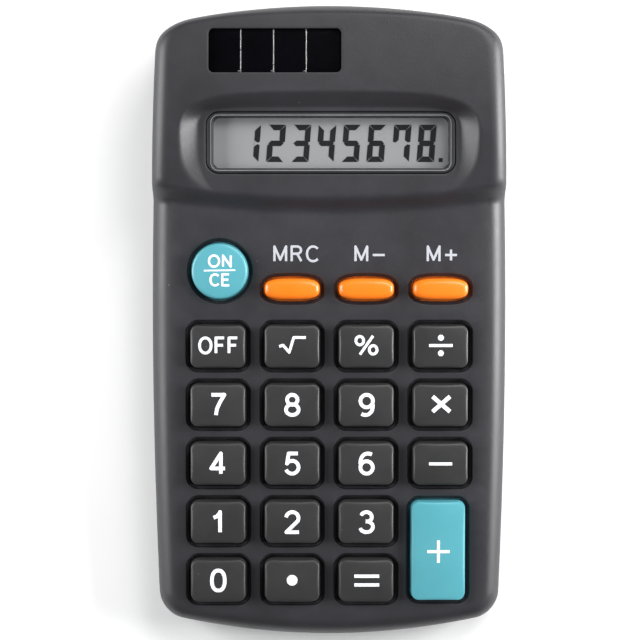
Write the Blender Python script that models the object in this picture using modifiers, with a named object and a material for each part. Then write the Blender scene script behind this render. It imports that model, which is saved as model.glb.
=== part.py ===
"""Pocket calculator lying on its back, face up, with the display end towards +Y.

The origin is the middle of the flat back. The thick head holds a battery cell that lies
across it, a photovoltaic strip and a scooped basin with the display. The keypad face
slopes gently down from the head to the thin end. The keys, their silicone mat, the circuit
board and the display all lie parallel to that face, so they hang on one tilted empty.
"""

import math

import bmesh
import bpy

MM = 0.001
FAR = 80 * MM
GAP = 0.3 * MM

# Plan of the case: bowed ends and sides joined by corner arcs.
HALF_WIDTH = 32.5 * MM
HALF_LENGTH = 58.0 * MM
SIDE_RADIUS = 1047.0 * MM
END_RADIUS = 128.0 * MM
HEAD_CORNER = 8.0 * MM
FOOT_CORNER = 5.5 * MM
SIDE_STEPS = 2
CORNER_STEPS = 5
END_STEPS = 3

# Heights of the case.
WALL = 1.6 * MM
FLOOR = 1.8 * MM
PARTING = 6.0 * MM
LIP_HEIGHT = 1.0 * MM
REBATE_INSET = 0.6 * MM
LIP_INSET = 0.9 * MM
LIP_ROOT = 2.0 * MM
TOP_EDGE = 2.4 * MM
BACK_EDGE = 2.2 * MM
SMOOTH_ANGLE = math.radians(30)
ROUNDED_ANGLE = math.radians(50)

# The head's top is a ridge that falls to both sides.
HEAD_HEIGHT = 18.0 * MM
RIDGE_Y = 44.0 * MM
FORE_DROP = 2.8 * MM
FORE_RUN = 20.0 * MM
BACK_DROP = 0.7 * MM
BACK_RUN = 14.0 * MM
RIDGE_STRETCH = 6.5 * MM

# The keypad face, as a height over the origin and a slope along Y.
FACE_HEIGHT = 11.5 * MM
FACE_TILT = math.radians(2.37)

# The step from the head down to the keypad face sags in the middle.
STEP_Y = 19.2 * MM
STEP_RISE = 2.6 * MM
STEP_LEAN = 1.14

# The display basin. Heights named LEVEL are measured from the keypad face's plane.
BASIN_Y = 31.0 * MM
BASIN_LEVEL = 2.2 * MM
BASIN_TOP = HEAD_HEIGHT + 0.2 * MM
BASIN_FLOOR = (23.6 * MM, 7.2 * MM, 14.0 * MM, 7.0)
BASIN_RIM = (27.2 * MM, 9.1 * MM, 14.0 * MM, 5.0)
BASIN_TAIL_POWER = 2.3

# Display pieces.
DISPLAY_X = 0.3 * MM
DISPLAY_Y = 32.0 * MM
LENS_RECESS = (45.2 * MM, 11.2 * MM, 2.4 * MM)
LENS_LEVELS = (1.3 * MM, 2.0 * MM)
WINDOW = (42.6 * MM, 9.2 * MM, 1.4 * MM)
LEDGE_LEVEL = 1.0 * MM
LCD_SIZE = (46.0 * MM, 14.4 * MM, 0.6 * MM)
LCD_LEVELS = (-2.1 * MM, -0.3 * MM)
LCD_SHIFT = -1.0 * MM
REFLECTOR_SIZE = (44.0 * MM, 11.6 * MM, 0.6 * MM)
REFLECTOR_LEVELS = (-2.7 * MM, -2.4 * MM)
REFLECTOR_SHIFT = 0.2 * MM
CONNECTOR_SIZE = (44.0 * MM, 1.6 * MM)

# Photovoltaic strip.
SOLAR_CENTRE = (-9.75 * MM, 48.15 * MM)
SOLAR_WINDOW = (23.8 * MM, 7.9 * MM)
SOLAR_CELL = (25.4 * MM, 9.5 * MM, 1.1 * MM)
SOLAR_SKIN = 0.7 * MM

# Keypad.
PITCH_X = 13.5 * MM
PITCH_Y = 10.7 * MM
FIRST_ROW_Y = -4.9 * MM
KEY_OPENING = (11.72 * MM, 9.48 * MM, 2.2 * MM)
SMALL_OPENING = (11.72 * MM, 5.65 * MM, 2.5 * MM)
TALL_OPENING = (11.5 * MM, 19.8 * MM, 2.2 * MM)
ROUND_OPENING = 11.9 * MM
MEMORY_Y = 5.55 * MM
ROUND_KEY = (-19.9 * MM, 8.8 * MM)
TALL_KEY = (19.9 * MM, -42.25 * MM)
LEDGE_WIDTH = 0.5 * MM
LEDGE_DEPTH = 0.4 * MM
KEY_CLEARANCE = 0.26 * MM
FLANGE_OVERLAP = 0.35 * MM
FLANGE_LEVELS = (-2.7 * MM, -1.9 * MM)
KEY_TOP = 1.9 * MM
KEY_TAPER = 0.3 * MM
KEY_ROUND = 0.45 * MM
ROWS = (
    ("key_off", "key_root", "key_percent", "key_divide"),
    ("key_7", "key_8", "key_9", "key_multiply"),
    ("key_4", "key_5", "key_6", "key_minus"),
    ("key_1", "key_2", "key_3"),
    ("key_0", "key_point", "key_equals"),
)
MEMORY_KEYS = ("key_mrc", "key_memory_minus", "key_memory_plus")

# Silicone mat and circuit board.
MAT_LEVELS = (-5.4 * MM, -4.9 * MM)
MAT_HALF_WIDTH = 24.4 * MM
MAT_ENDS = (-52.4 * MM, 14.6 * MM)
DOME_TOP = FLANGE_LEVELS[0] - GAP
DOME_RADII = (2.4 * MM, 1.6 * MM)
DOME_HOLLOW = 1.3 * MM
DOME_SKIN = 0.6 * MM
BOARD_LEVELS = (-6.7 * MM, -5.7 * MM)
BOARD_HALF_WIDTH = 29.0 * MM
BOARD_ENDS = (-53.0 * MM, 40.3 * MM)
BOARD_CORNER = 4.0 * MM
CHIP_RADIUS = 5.0 * MM
CHIP_HEIGHT = 1.4 * MM
CHIP_Y = 15.0 * MM
CAPACITOR = (1.5 * MM, 5.0 * MM)
CAPACITOR_PLACE = (10.0 * MM, 30.0 * MM)

# Screws: shank radius, head radius, head height, shank length.
SCREW_X = 28.15 * MM
CASE_SCREW = (0.9 * MM, 1.9 * MM, 1.0 * MM, 6.0 * MM)
CASE_SCREW_Y = (38.0 * MM, -47.0 * MM)
CASE_SCREW_FOOT = 0.6 * MM
BOARD_SCREW = (0.7 * MM, 1.5 * MM, 1.0 * MM, 3.8 * MM)
BOARD_SCREW_Y = (12.0 * MM, -20.0 * MM)
SCREW_TIP = 0.4 * MM
POST_RADIUS = 1.75 * MM
POST_FOOT = 5.0 * MM
POST_COVER = 0.9 * MM
WELL_RADIUS = 2.7 * MM
WELL_BORE = 2.2 * MM
WELL_DEPTH = 1.9 * MM
WELL_TOP = 4.7 * MM

# Battery bay and its cover.
CELL_RADIUS = 5.25 * MM
CELL_LENGTH = 44.5 * MM
CELL_RIM = 0.35 * MM
NUB = (1.9 * MM, 0.8 * MM)
CELL_TIP_X = 24.1 * MM
CELL_Y = 48.0 * MM
CELL_Z = 7.35 * MM
BAY_HEIGHT = 12.0 * MM
BAY_WALL_Y = (40.9 * MM, 42.0 * MM)
BAY_RIB_X = (25.2 * MM, 26.6 * MM)
BAY_RIB_END = 52.6 * MM
BAY_WALL_END = 29.9 * MM
COVER_HALF_WIDTH = 24.5 * MM
COVER_START = 42.6 * MM
COVER_THICKNESS = 1.75 * MM
TONGUE_HALF_WIDTH = 25.4 * MM
TONGUE_LEVELS = (1.0 * MM, 1.75 * MM)
TONGUE_END = 52.0 * MM
TONGUE_EASE = 0.05 * MM
RAIL_X = 24.2 * MM
RAIL_TOP = 3.1 * MM
CONTACT_SIZE = (0.4 * MM, 8.0 * MM, 7.5 * MM)
CONTACT_Z = 7.25 * MM
SPRING_RADII = (3.7 * MM, 2.7 * MM)
SPRING_TURNS = 3
SPRING_STEPS = 8
SPRING_WIRE = 0.33 * MM

# Leads.
LEAD_RADIUS = 0.4 * MM
LEAD_RISE = 1.1 * MM
LEAD_BEND = 1.35 * MM
LEAD_DROP = 1.9 * MM
LEAD_FOOT = 0.6 * MM
LEAD_LAP = 0.4 * MM
SOLAR_LEAD_START = 1.2 * MM
SOLAR_LEAD_BEND = (1.6 * MM, 0.9 * MM)
BATTERY_LEAD_RUN = (2.5 * MM, 4.0 * MM)
SOLAR_LEAD_X = (-14.0 * MM, -12.0 * MM)
BATTERY_LEAD_X = 24.35 * MM

# Colours, roughness and metallic value of each material.
LOOKS = {
    "case_plastic": ((0.055, 0.058, 0.066), 0.5, 0.0),
    "back_plastic": ((0.045, 0.047, 0.052), 0.55, 0.0),
    "black_key": ((0.028, 0.028, 0.03), 0.45, 0.0),
    "teal_key": ((0.1, 0.5, 0.55), 0.4, 0.0),
    "orange_key": ((0.95, 0.3, 0.02), 0.35, 0.0),
    "lens_plastic": ((0.55, 0.57, 0.58), 0.08, 0.0),
    "lcd_glass": ((0.3, 0.31, 0.3), 0.15, 0.0),
    "reflector_foil": ((0.6, 0.6, 0.58), 0.3, 0.6),
    "connector_rubber": ((0.1, 0.1, 0.1), 0.7, 0.0),
    "solar_glass": ((0.015, 0.013, 0.014), 0.15, 0.0),
    "board_laminate": ((0.12, 0.25, 0.08), 0.5, 0.0),
    "chip_resin": ((0.01, 0.01, 0.01), 0.35, 0.0),
    "capacitor_can": ((0.05, 0.06, 0.2), 0.35, 0.2),
    "mat_silicone": ((0.4, 0.42, 0.44), 0.6, 0.0),
    "screw_steel": ((0.45, 0.45, 0.46), 0.35, 1.0),
    "cell_sleeve": ((0.12, 0.2, 0.1), 0.3, 0.3),
    "spring_steel": ((0.6, 0.6, 0.58), 0.3, 1.0),
    "contact_steel": ((0.62, 0.6, 0.55), 0.3, 1.0),
    "red_lead": ((0.6, 0.03, 0.02), 0.45, 0.0),
    "black_lead": ((0.02, 0.02, 0.02), 0.45, 0.0),
}


def clear_scene():
    for obj in list(bpy.data.objects):
        bpy.data.objects.remove(obj, do_unlink=True)


def new_collection(name):
    collection = bpy.data.collections.new(name)
    bpy.context.scene.collection.children.link(collection)
    return collection


def make_materials():
    made = {}
    for name, (colour, roughness, metallic) in LOOKS.items():
        made[name] = bpy.data.materials.new(name)
        made[name].use_nodes = True
        shader = made[name].node_tree.nodes["Principled BSDF"]
        shader.inputs["Base Color"].default_value = (*colour, 1.0)
        shader.inputs["Roughness"].default_value = roughness
        shader.inputs["Metallic"].default_value = metallic
    return made


def add_object(name, mesh, collection, parent=None):
    obj = bpy.data.objects.new(name, mesh)
    collection.objects.link(obj)
    obj.parent = parent
    return obj


def as_cutter(obj):
    obj.hide_render = True
    obj.display_type = "WIRE"
    return obj


def finish(obj, look):
    """Gives a part its material and shades its round stretches smooth."""
    obj.data.materials.clear()
    obj.data.materials.append(look)
    if obj.type == "MESH":
        obj.data.shade_smooth()
        obj.data.set_sharp_from_angle(angle=SMOOTH_ANGLE)
    return obj


def boolean(obj, other, operation):
    modifier = obj.modifiers.new(f"{operation.lower()} {other.name}", "BOOLEAN")
    modifier.operation = operation
    modifier.object = other
    modifier.solver = "EXACT"


def round_edges(obj, width, segments):
    modifier = obj.modifiers.new("round edges", "BEVEL")
    modifier.width = width
    modifier.segments = segments
    modifier.limit_method = "ANGLE"
    modifier.angle_limit = ROUNDED_ANGLE
    modifier.use_clamp_overlap = False


def outline_curve(name, outlines, thickness):
    curve = bpy.data.curves.new(name, "CURVE")
    curve.dimensions = "2D"
    curve.fill_mode = "BOTH"
    curve.extrude = thickness / 2
    for outline in outlines:
        spline = curve.splines.new("POLY")
        spline.points.add(len(outline) - 1)
        spline.use_cyclic_u = True
        for point, (x, y) in zip(spline.points, outline):
            point.co = (x, y, 0.0, 1.0)
    return curve


def mesh_of(curve):
    """The mesh that a curve evaluates to, with its caps welded to its sides."""
    guide = bpy.data.objects.new(curve.name, curve)
    bpy.context.scene.collection.objects.link(guide)
    bpy.context.view_layer.update()
    evaluated = guide.evaluated_get(bpy.context.evaluated_depsgraph_get())
    mesh = bpy.data.meshes.new_from_object(evaluated)
    bpy.data.objects.remove(guide, do_unlink=True)
    work = bmesh.new()
    work.from_mesh(mesh)
    bmesh.ops.remove_doubles(work, verts=work.verts, dist=1e-6)
    bmesh.ops.recalc_face_normals(work, faces=work.faces)
    work.to_mesh(mesh)
    work.free()
    return mesh


def prism(name, outlines, low, high, collection, parent=None):
    """A flat outline, with any holes, extruded from low to high along Z."""
    mesh = mesh_of(outline_curve(name, outlines, high - low))
    work = bmesh.new()
    work.from_mesh(mesh)
    bmesh.ops.translate(work, verts=work.verts, vec=(0, 0, (low + high) / 2))
    bmesh.ops.dissolve_limit(work, angle_limit=1e-4, verts=work.verts, edges=work.edges)
    work.to_mesh(mesh)
    work.free()
    return add_object(name, mesh, collection, parent)


def box(name, low, high, collection, parent=None):
    work = bmesh.new()
    bmesh.ops.create_cube(work, size=1.0)
    size = [b - a for a, b in zip(low, high)]
    bmesh.ops.scale(work, verts=work.verts, vec=size)
    middle = [(a + b) / 2 for a, b in zip(low, high)]
    bmesh.ops.translate(work, verts=work.verts, vec=middle)
    mesh = bpy.data.meshes.new(name)
    work.to_mesh(mesh)
    work.free()
    return add_object(name, mesh, collection, parent)


def cylinders(name, radius, low, high, centres, sides, collection, parent=None, top_radius=None):
    """Upright cylinders, or cones, of one size at several centres, as one mesh."""
    work = bmesh.new()
    for x, y in centres:
        made = bmesh.ops.create_cone(
            work,
            cap_ends=True,
            segments=sides,
            radius1=radius,
            radius2=radius if top_radius is None else top_radius,
            depth=high - low,
        )
        bmesh.ops.translate(work, verts=made["verts"], vec=(x, y, (low + high) / 2))
    mesh = bpy.data.meshes.new(name)
    work.to_mesh(mesh)
    work.free()
    return add_object(name, mesh, collection, parent)


def turned(name, profile, steps, collection, parent=None):
    """A profile of (radius, height) points, from its top down, turned about Z."""
    mesh = bpy.data.meshes.new(name)
    points = [(radius, 0.0, height) for radius, height in profile]
    mesh.from_pydata(points, [(i, i + 1) for i in range(len(points) - 1)], [])
    obj = add_object(name, mesh, collection, parent)
    screw = obj.modifiers.new("turn", "SCREW")
    screw.axis = "Z"
    screw.steps = steps
    screw.render_steps = steps
    screw.use_merge_vertices = True
    screw.merge_threshold = 0.00001
    return obj


def wire(name, points, radius, collection):
    """A round wire through the points, with filled ends."""
    curve = bpy.data.curves.new(name, "CURVE")
    curve.dimensions = "3D"
    curve.bevel_depth = radius
    curve.bevel_resolution = 2
    curve.use_fill_caps = True
    spline = curve.splines.new("POLY")
    spline.points.add(len(points) - 1)
    for point, place in zip(spline.points, points):
        point.co = (*place, 1.0)
    return add_object(name, curve, collection)


def smooth_route(points, steps):
    """Points along a smooth line through the route's own points (Catmull-Rom)."""
    ends = [points[0], *points, points[-1]]
    route = []
    for a, b, c, d in zip(ends, ends[1:], ends[2:], ends[3:]):
        for i in range(steps):
            t = i / steps
            route.append(
                tuple(
                    0.5 * (2 * q + (r - p) * t + (2 * p - 5 * q + 4 * r - s) * t**2
                           + (3 * q - p - 3 * r + s) * t**3)
                    for p, q, r, s in zip(a, b, c, d)
                )
            )
    return [*route, points[-1]]


def arc(centre, radius, start, end, steps):
    angles = [start + (end - start) * i / steps for i in range(steps + 1)]
    return [(centre[0] + radius * math.cos(a), centre[1] + radius * math.sin(a)) for a in angles]


def rounded_rectangle(size, centre=(0.0, 0.0), grow=0.0, steps=2):
    """Outline of a rectangle (width, height, corner radius), grown on every side by grow."""
    width, height, corner = size
    corner = corner + grow
    outline = []
    for turn, (side_x, side_y) in enumerate(((1, 1), (-1, 1), (-1, -1), (1, -1))):
        middle = (
            centre[0] + side_x * (width / 2 + grow - corner),
            centre[1] + side_y * (height / 2 + grow - corner),
        )
        outline += arc(middle, corner, turn * math.pi / 2, (turn + 1) * math.pi / 2, steps)
    return outline


def case_quarter(corner, inset):
    """Plan outline from the middle of the right side to the middle of the far end."""
    side = (HALF_WIDTH - SIDE_RADIUS, 0.0)
    end = (0.0, HALF_LENGTH - END_RADIUS)
    apart = math.dist(side, end)
    to_side = SIDE_RADIUS - corner
    to_end = END_RADIUS - corner
    along = (to_side**2 - to_end**2 + apart**2) / (2 * apart)
    across = math.sqrt(to_side**2 - along**2)
    unit = ((end[0] - side[0]) / apart, (end[1] - side[1]) / apart)
    centre = (
        side[0] + along * unit[0] - across * unit[1],
        side[1] + along * unit[1] + across * unit[0],
    )
    side_angle = math.atan2(centre[1] - side[1], centre[0] - side[0])
    end_angle = math.atan2(centre[1] - end[1], centre[0] - end[0])
    return [
        *arc(side, SIDE_RADIUS - inset, 0.0, side_angle, SIDE_STEPS),
        *arc(centre, corner - inset, side_angle, end_angle, CORNER_STEPS)[1:],
        *arc(end, END_RADIUS - inset, end_angle, math.pi / 2, END_STEPS)[1:],
    ]


def case_outline(inset):
    """Plan outline of the case, pulled in by inset, anticlockwise."""
    head = case_quarter(HEAD_CORNER, inset)
    foot = case_quarter(FOOT_CORNER, inset)
    return [
        *head,
        *[(-x, y) for x, y in head[-2::-1]],
        *[(-x, -y) for x, y in foot[1:]],
        *[(x, -y) for x, y in foot[-2:0:-1]],
    ]


def head_top(y):
    if y < RIDGE_Y:
        return HEAD_HEIGHT - FORE_DROP * ((RIDGE_Y - y) / FORE_RUN) ** 2
    return HEAD_HEIGHT - BACK_DROP * ((y - RIDGE_Y) / BACK_RUN) ** 2


def face_height(y):
    return FACE_HEIGHT + y * math.tan(FACE_TILT)


def step_line(x):
    return STEP_Y + STEP_RISE * (x / HALF_WIDTH) ** 2


def side_prism(name, profile, collection):
    """A (y, z) profile extruded across the whole width of the case."""
    obj = prism(name, [profile], -FAR / 2, FAR / 2, collection)
    obj.rotation_euler = (math.pi / 2, 0.0, math.pi / 2)
    return obj


def keypad_block(name, inset, drop, cutters):
    """The case's plan, cut off along the keypad face's plane lowered by drop."""
    block = prism(name, [case_outline(inset)], 0.0, 2 * HEAD_HEIGHT, cutters)
    profile = [
        (-FAR, -FAR),
        (FAR, -FAR),
        (FAR, face_height(FAR) - drop),
        (-FAR, face_height(-FAR) - drop),
    ]
    boolean(block, as_cutter(side_prism(f"{name} slope", profile, cutters)), "INTERSECT")
    return as_cutter(block)


def cut_long(points, longest):
    """The line through the points, with equal parts wherever a stretch is too long."""
    line = []
    for (x, y), (next_x, next_y) in zip(points, points[1:]):
        parts = math.ceil(math.dist((x, y), (next_x, next_y)) / longest)
        for i in range(parts):
            share = i / parts
            line.append((x + (next_x - x) * share, y + (next_y - y) * share))
    return [*line, points[-1]]


def head_ring(inset, drop):
    """The head's outline, pulled in by inset, on the ridge lowered by drop."""
    right = cut_long(case_quarter(HEAD_CORNER, inset), RIDGE_STRETCH)
    left = [(-x, y) for x, y in right[-2::-1]]
    return [(x, y, head_top(y) - drop) for x, y in [*right, *left]]


def head_mesh(name, inset, drop):
    """The head from the middle of the case to its far end, with a round upper edge."""
    edge = TOP_EDGE - inset
    half_way = edge * (1 - math.sqrt(0.5))
    upper = [
        head_ring(inset, drop + edge),
        head_ring(inset + half_way, drop + half_way),
        head_ring(inset + edge, drop),
    ]
    rings = [[(x, y, 0.0) for x, y, _ in upper[0]], *upper]
    count = len(rings[0])
    work = bmesh.new()
    grid = [[work.verts.new(point) for point in ring] for ring in rings]
    for low, high in zip(grid, grid[1:]):
        for i in range(count - 1):
            work.faces.new((low[i], low[i + 1], high[i + 1], high[i]))
    top = grid[-1]
    for i in range(count // 2):
        corners = (top[i], top[i + 1], top[count - 2 - i], top[count - 1 - i])
        work.faces.new(dict.fromkeys(corners))
    work.faces.new(grid[0])
    work.faces.new([*[ring[0] for ring in grid], *[ring[-1] for ring in reversed(grid)]])
    bmesh.ops.triangulate(work, faces=work.faces)
    bmesh.ops.recalc_face_normals(work, faces=work.faces)
    mesh = bpy.data.meshes.new(name)
    work.to_mesh(mesh)
    work.free()
    return mesh


def head_block(name, inset, drop, cutters):
    """The head: the case's plan behind the step, under the ridge lowered by drop."""
    columns = 9
    xs = [FAR / 2 - FAR * i / (columns - 1) for i in range(columns)]
    step = [(x, step_line(x) + drop) for x in xs]
    plan = [(-FAR / 2, FAR), (-FAR / 2, step[-1][1]), *step[-2::-1], (FAR / 2, FAR)]
    wedge = as_cutter(prism(f"{name} step", [plan], 0.0, 2 * HEAD_HEIGHT, cutters))
    for vertex in wedge.data.vertices:
        if vertex.co.y < FAR / 2:
            above = vertex.co.z + drop - face_height(step_line(vertex.co.x))
            vertex.co.y += STEP_LEAN * above
    block = add_object(name, head_mesh(name, inset, drop), cutters)
    boolean(block, wedge, "INTERSECT")
    return as_cutter(block)


def basin_ring(shape, grow, count=28):
    """Half-round-cornered ring of the basin: flat across its top, narrowing to its tail."""
    width, rise, tail, power = shape
    ring = []
    for i in range(count):
        angle = 2 * math.pi * i / count
        sharp = power if math.sin(angle) >= 0 else BASIN_TAIL_POWER
        reach = (rise if math.sin(angle) >= 0 else tail) + grow
        x = (width + grow) * math.copysign(abs(math.cos(angle)) ** (2 / sharp), math.cos(angle))
        y = reach * math.copysign(abs(math.sin(angle)) ** (2 / sharp), math.sin(angle))
        ring.append((x, BASIN_Y + y))
    return ring


def basin(name, grow, floor_level, cutters):
    """The scoop of the display basin, as the hull of its floor ring and its rim ring."""
    work = bmesh.new()
    for x, y in basin_ring(BASIN_FLOOR, grow):
        work.verts.new((x, y, face_height(y) + floor_level))
    for x, y in basin_ring(BASIN_RIM, grow):
        work.verts.new((x, y, BASIN_TOP))
    bmesh.ops.convex_hull(work, input=work.verts)
    bmesh.ops.recalc_face_normals(work, faces=work.faces)
    mesh = bpy.data.meshes.new(name)
    work.to_mesh(mesh)
    work.free()
    return as_cutter(add_object(name, mesh, cutters))


def key_places():
    """Every key's name, place on the face and kind of opening."""
    places = []
    for row, names in enumerate(ROWS):
        for column, name in enumerate(names):
            x = (column - 1.5) * PITCH_X
            places.append((name, (x, FIRST_ROW_Y - row * PITCH_Y), "standard"))
    for column, name in enumerate(MEMORY_KEYS, start=1):
        places.append((name, ((column - 1.5) * PITCH_X, MEMORY_Y), "small"))
    places.append(("key_on_ce", ROUND_KEY, "round"))
    places.append(("key_plus", TALL_KEY, "tall"))
    return places


def opening_outline(kind, centre, grow):
    if kind == "round":
        return arc(centre, ROUND_OPENING / 2 + grow, 0.0, 2 * math.pi, 20)[:-1]
    size = {"standard": KEY_OPENING, "small": SMALL_OPENING, "tall": TALL_OPENING}[kind]
    return rounded_rectangle(size, centre, grow)


def screw_places(ys):
    return [(side * SCREW_X, y) for y in ys for side in (1, -1)]


def make_front_case(parts, cutters, face, look):
    """Upper shell: keypad face and head in one, hollow, with openings and screw posts."""
    shell = prism("front_case", [case_outline(0.0)], 0.0, 2 * HEAD_HEIGHT, parts)
    slope = [
        (-FAR, -FAR),
        (FAR, -FAR),
        (FAR, face_height(FAR)),
        (-FAR, face_height(-FAR)),
    ]
    boolean(shell, as_cutter(side_prism("face slope", slope, cutters)), "INTERSECT")
    round_edges(shell, TOP_EDGE, 2)
    boolean(shell, head_block("head", 0.0, 0.0, cutters), "UNION")
    boolean(shell, basin("basin", 0.0, BASIN_LEVEL, cutters), "DIFFERENCE")

    hollow = keypad_block("hollow", WALL, WALL, cutters)
    boolean(hollow, head_block("head hollow", WALL, WALL, cutters), "UNION")
    boolean(hollow, basin("basin skin", WALL, 0.0, cutters), "DIFFERENCE")
    boolean(shell, hollow, "DIFFERENCE")
    below = box("below parting", (-FAR, -FAR, -FAR), (FAR, FAR, PARTING + GAP / 2), cutters)
    boolean(shell, as_cutter(below), "DIFFERENCE")

    for y in CASE_SCREW_Y:
        top = (head_top(y) if y > STEP_Y else face_height(y)) - POST_COVER
        posts = cylinders("case post", POST_RADIUS, POST_FOOT, top, screw_places([y]), 12, cutters)
        boolean(shell, as_cutter(posts), "UNION")
    board_post = (BOARD_LEVELS[1] + GAP, -POST_COVER)
    posts = cylinders(
        "board post", POST_RADIUS, *board_post, screw_places(BOARD_SCREW_Y), 12, cutters, face
    )
    boolean(shell, as_cutter(posts), "UNION")
    ring = [case_outline(REBATE_INSET), case_outline(WALL + GAP)]
    rebate = prism("rebate", ring, 0.0, PARTING + LIP_HEIGHT + GAP, cutters)
    boolean(shell, as_cutter(rebate), "DIFFERENCE")
    bores = cylinders(
        "case post bore",
        CASE_SCREW[0] + GAP,
        0.0,
        CASE_SCREW_FOOT + CASE_SCREW[2] + CASE_SCREW[3] + GAP,
        screw_places(CASE_SCREW_Y),
        12,
        cutters,
    )
    boolean(shell, as_cutter(bores), "DIFFERENCE")
    bores = cylinders(
        "board post bore",
        BOARD_SCREW[0] + GAP,
        2 * BOARD_LEVELS[0],
        BOARD_LEVELS[0] - GAP + BOARD_SCREW[3] + GAP,
        screw_places(BOARD_SCREW_Y),
        12,
        cutters,
        face,
    )
    boolean(shell, as_cutter(bores), "DIFFERENCE")

    display = (DISPLAY_X, DISPLAY_Y)
    seat = rounded_rectangle(LENS_RECESS, display, 0.0, 3)
    seat = prism("lens seat", [seat], LEDGE_LEVEL, BASIN_LEVEL + GAP, cutters, face)
    boolean(shell, as_cutter(seat), "DIFFERENCE")
    window = [rounded_rectangle(WINDOW, display, 0.0, 3)]
    window = prism("window", window, -2 * MM, BASIN_LEVEL, cutters, face)
    boolean(shell, as_cutter(window), "DIFFERENCE")

    solar_z = head_top(SOLAR_CENTRE[1])
    for name, (width, depth), low, high in (
        ("solar window", SOLAR_WINDOW, HEAD_HEIGHT - 4 * MM, HEAD_HEIGHT + 4 * MM),
        (
            "solar pocket",
            (SOLAR_CELL[0] + 2 * GAP, SOLAR_CELL[1] + 2 * GAP),
            HEAD_HEIGHT - 4 * MM,
            solar_z - SOLAR_SKIN,
        ),
    ):
        corner = (SOLAR_CENTRE[0] - width / 2, SOLAR_CENTRE[1] - depth / 2, low)
        opposite = (SOLAR_CENTRE[0] + width / 2, SOLAR_CENTRE[1] + depth / 2, high)
        boolean(shell, as_cutter(box(name, corner, opposite, cutters)), "DIFFERENCE")

    recesses = [opening_outline(kind, place, 0.0) for _, place, kind in key_places()]
    recess = prism("key recesses", recesses, -LEDGE_DEPTH, HEAD_HEIGHT, cutters, face)
    boolean(shell, as_cutter(recess), "DIFFERENCE")
    openings = [opening_outline(kind, place, -LEDGE_WIDTH) for _, place, kind in key_places()]
    opening = prism("key openings", openings, BOARD_LEVELS[1], 2 * MM, cutters, face)
    boolean(shell, as_cutter(opening), "DIFFERENCE")
    return finish(shell, look)


def back_block(name, collection):
    """The lower half's outer shape, with its back edge rounded."""
    block = prism(name, [case_outline(0.0)], 0.0, HEAD_HEIGHT, collection)
    round_edges(block, BACK_EDGE, 3)
    return block


def make_rear_case(parts, cutters, look):
    """Lower shell: flat back, screw wells, battery bay ribs and the cover's rails."""
    shell = back_block("rear_case", parts)
    above = box("above parting", (-FAR, -FAR, PARTING - GAP / 2), (FAR, FAR, FAR), cutters)
    boolean(shell, as_cutter(above), "DIFFERENCE")
    hollow = prism("rear hollow", [case_outline(WALL)], FLOOR, HEAD_HEIGHT, cutters)
    wells = cylinders(
        "screw wells", WELL_RADIUS, -FLOOR, WELL_TOP, screw_places(CASE_SCREW_Y), 14, cutters
    )
    boolean(hollow, as_cutter(wells), "DIFFERENCE")
    boolean(shell, as_cutter(hollow), "DIFFERENCE")
    ring = [case_outline(LIP_INSET), case_outline(WALL)]
    lip = prism("lip", ring, PARTING - LIP_ROOT, PARTING + LIP_HEIGHT, cutters)
    boolean(shell, as_cutter(lip), "UNION")

    low_y, high_y = BAY_WALL_Y
    near_end = (-BAY_WALL_END, low_y, FLOOR / 2)
    wall = box("bay wall", near_end, (BAY_WALL_END, high_y, BAY_HEIGHT), cutters)
    boolean(shell, as_cutter(wall), "UNION")
    near_x, far_x = BAY_RIB_X
    for side in (1, -1):
        edges = sorted((side * near_x, side * far_x))
        rib = box(
            "bay rib",
            (edges[0], low_y + GAP, FLOOR / 2),
            (edges[1], BAY_RIB_END, BAY_HEIGHT - GAP),
            cutters,
        )
        boolean(shell, as_cutter(rib), "UNION")
        edges = sorted((side * RAIL_X, side * (near_x + GAP)))
        rail = box(
            "cover rail",
            (edges[0], low_y + GAP, FLOOR / 2),
            (edges[1], BAY_RIB_END - GAP, RAIL_TOP),
            cutters,
        )
        boolean(shell, as_cutter(rail), "UNION")

    start = COVER_START - GAP
    top = COVER_THICKNESS + GAP
    mouth_x = COVER_HALF_WIDTH + GAP
    mouth = box("cover mouth", (-mouth_x, start, -FAR), (mouth_x, FAR, top), cutters)
    boolean(shell, as_cutter(mouth), "DIFFERENCE")
    groove_x = TONGUE_HALF_WIDTH + GAP
    groove = box(
        "cover groove", (-groove_x, start, TONGUE_LEVELS[0] - GAP), (groove_x, FAR, top), cutters
    )
    boolean(shell, as_cutter(groove), "DIFFERENCE")
    bores = cylinders(
        "screw bores",
        CASE_SCREW[0] + GAP,
        -FAR,
        HEAD_HEIGHT,
        screw_places(CASE_SCREW_Y),
        12,
        cutters,
    )
    boolean(shell, as_cutter(bores), "DIFFERENCE")
    sinks = cylinders(
        "screw sinks", WELL_BORE, -FAR, WELL_DEPTH, screw_places(CASE_SCREW_Y), 14, cutters
    )
    boolean(shell, as_cutter(sinks), "DIFFERENCE")
    return finish(shell, look)


def make_battery_cover(parts, cutters, look):
    """Sliding door: a piece of the back with a tongue along each side."""
    cover = back_block("battery_cover", parts)
    plate = box(
        "cover plate",
        (-COVER_HALF_WIDTH, COVER_START, -FAR),
        (COVER_HALF_WIDTH, FAR, COVER_THICKNESS),
        cutters,
    )
    boolean(cover, as_cutter(plate), "INTERSECT")
    tongue = box(
        "cover tongues",
        (-TONGUE_HALF_WIDTH, COVER_START + GAP, TONGUE_LEVELS[0]),
        (TONGUE_HALF_WIDTH, TONGUE_END, TONGUE_LEVELS[1] - TONGUE_EASE),
        cutters,
    )
    boolean(cover, as_cutter(tongue), "UNION")
    return finish(cover, look)


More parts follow.
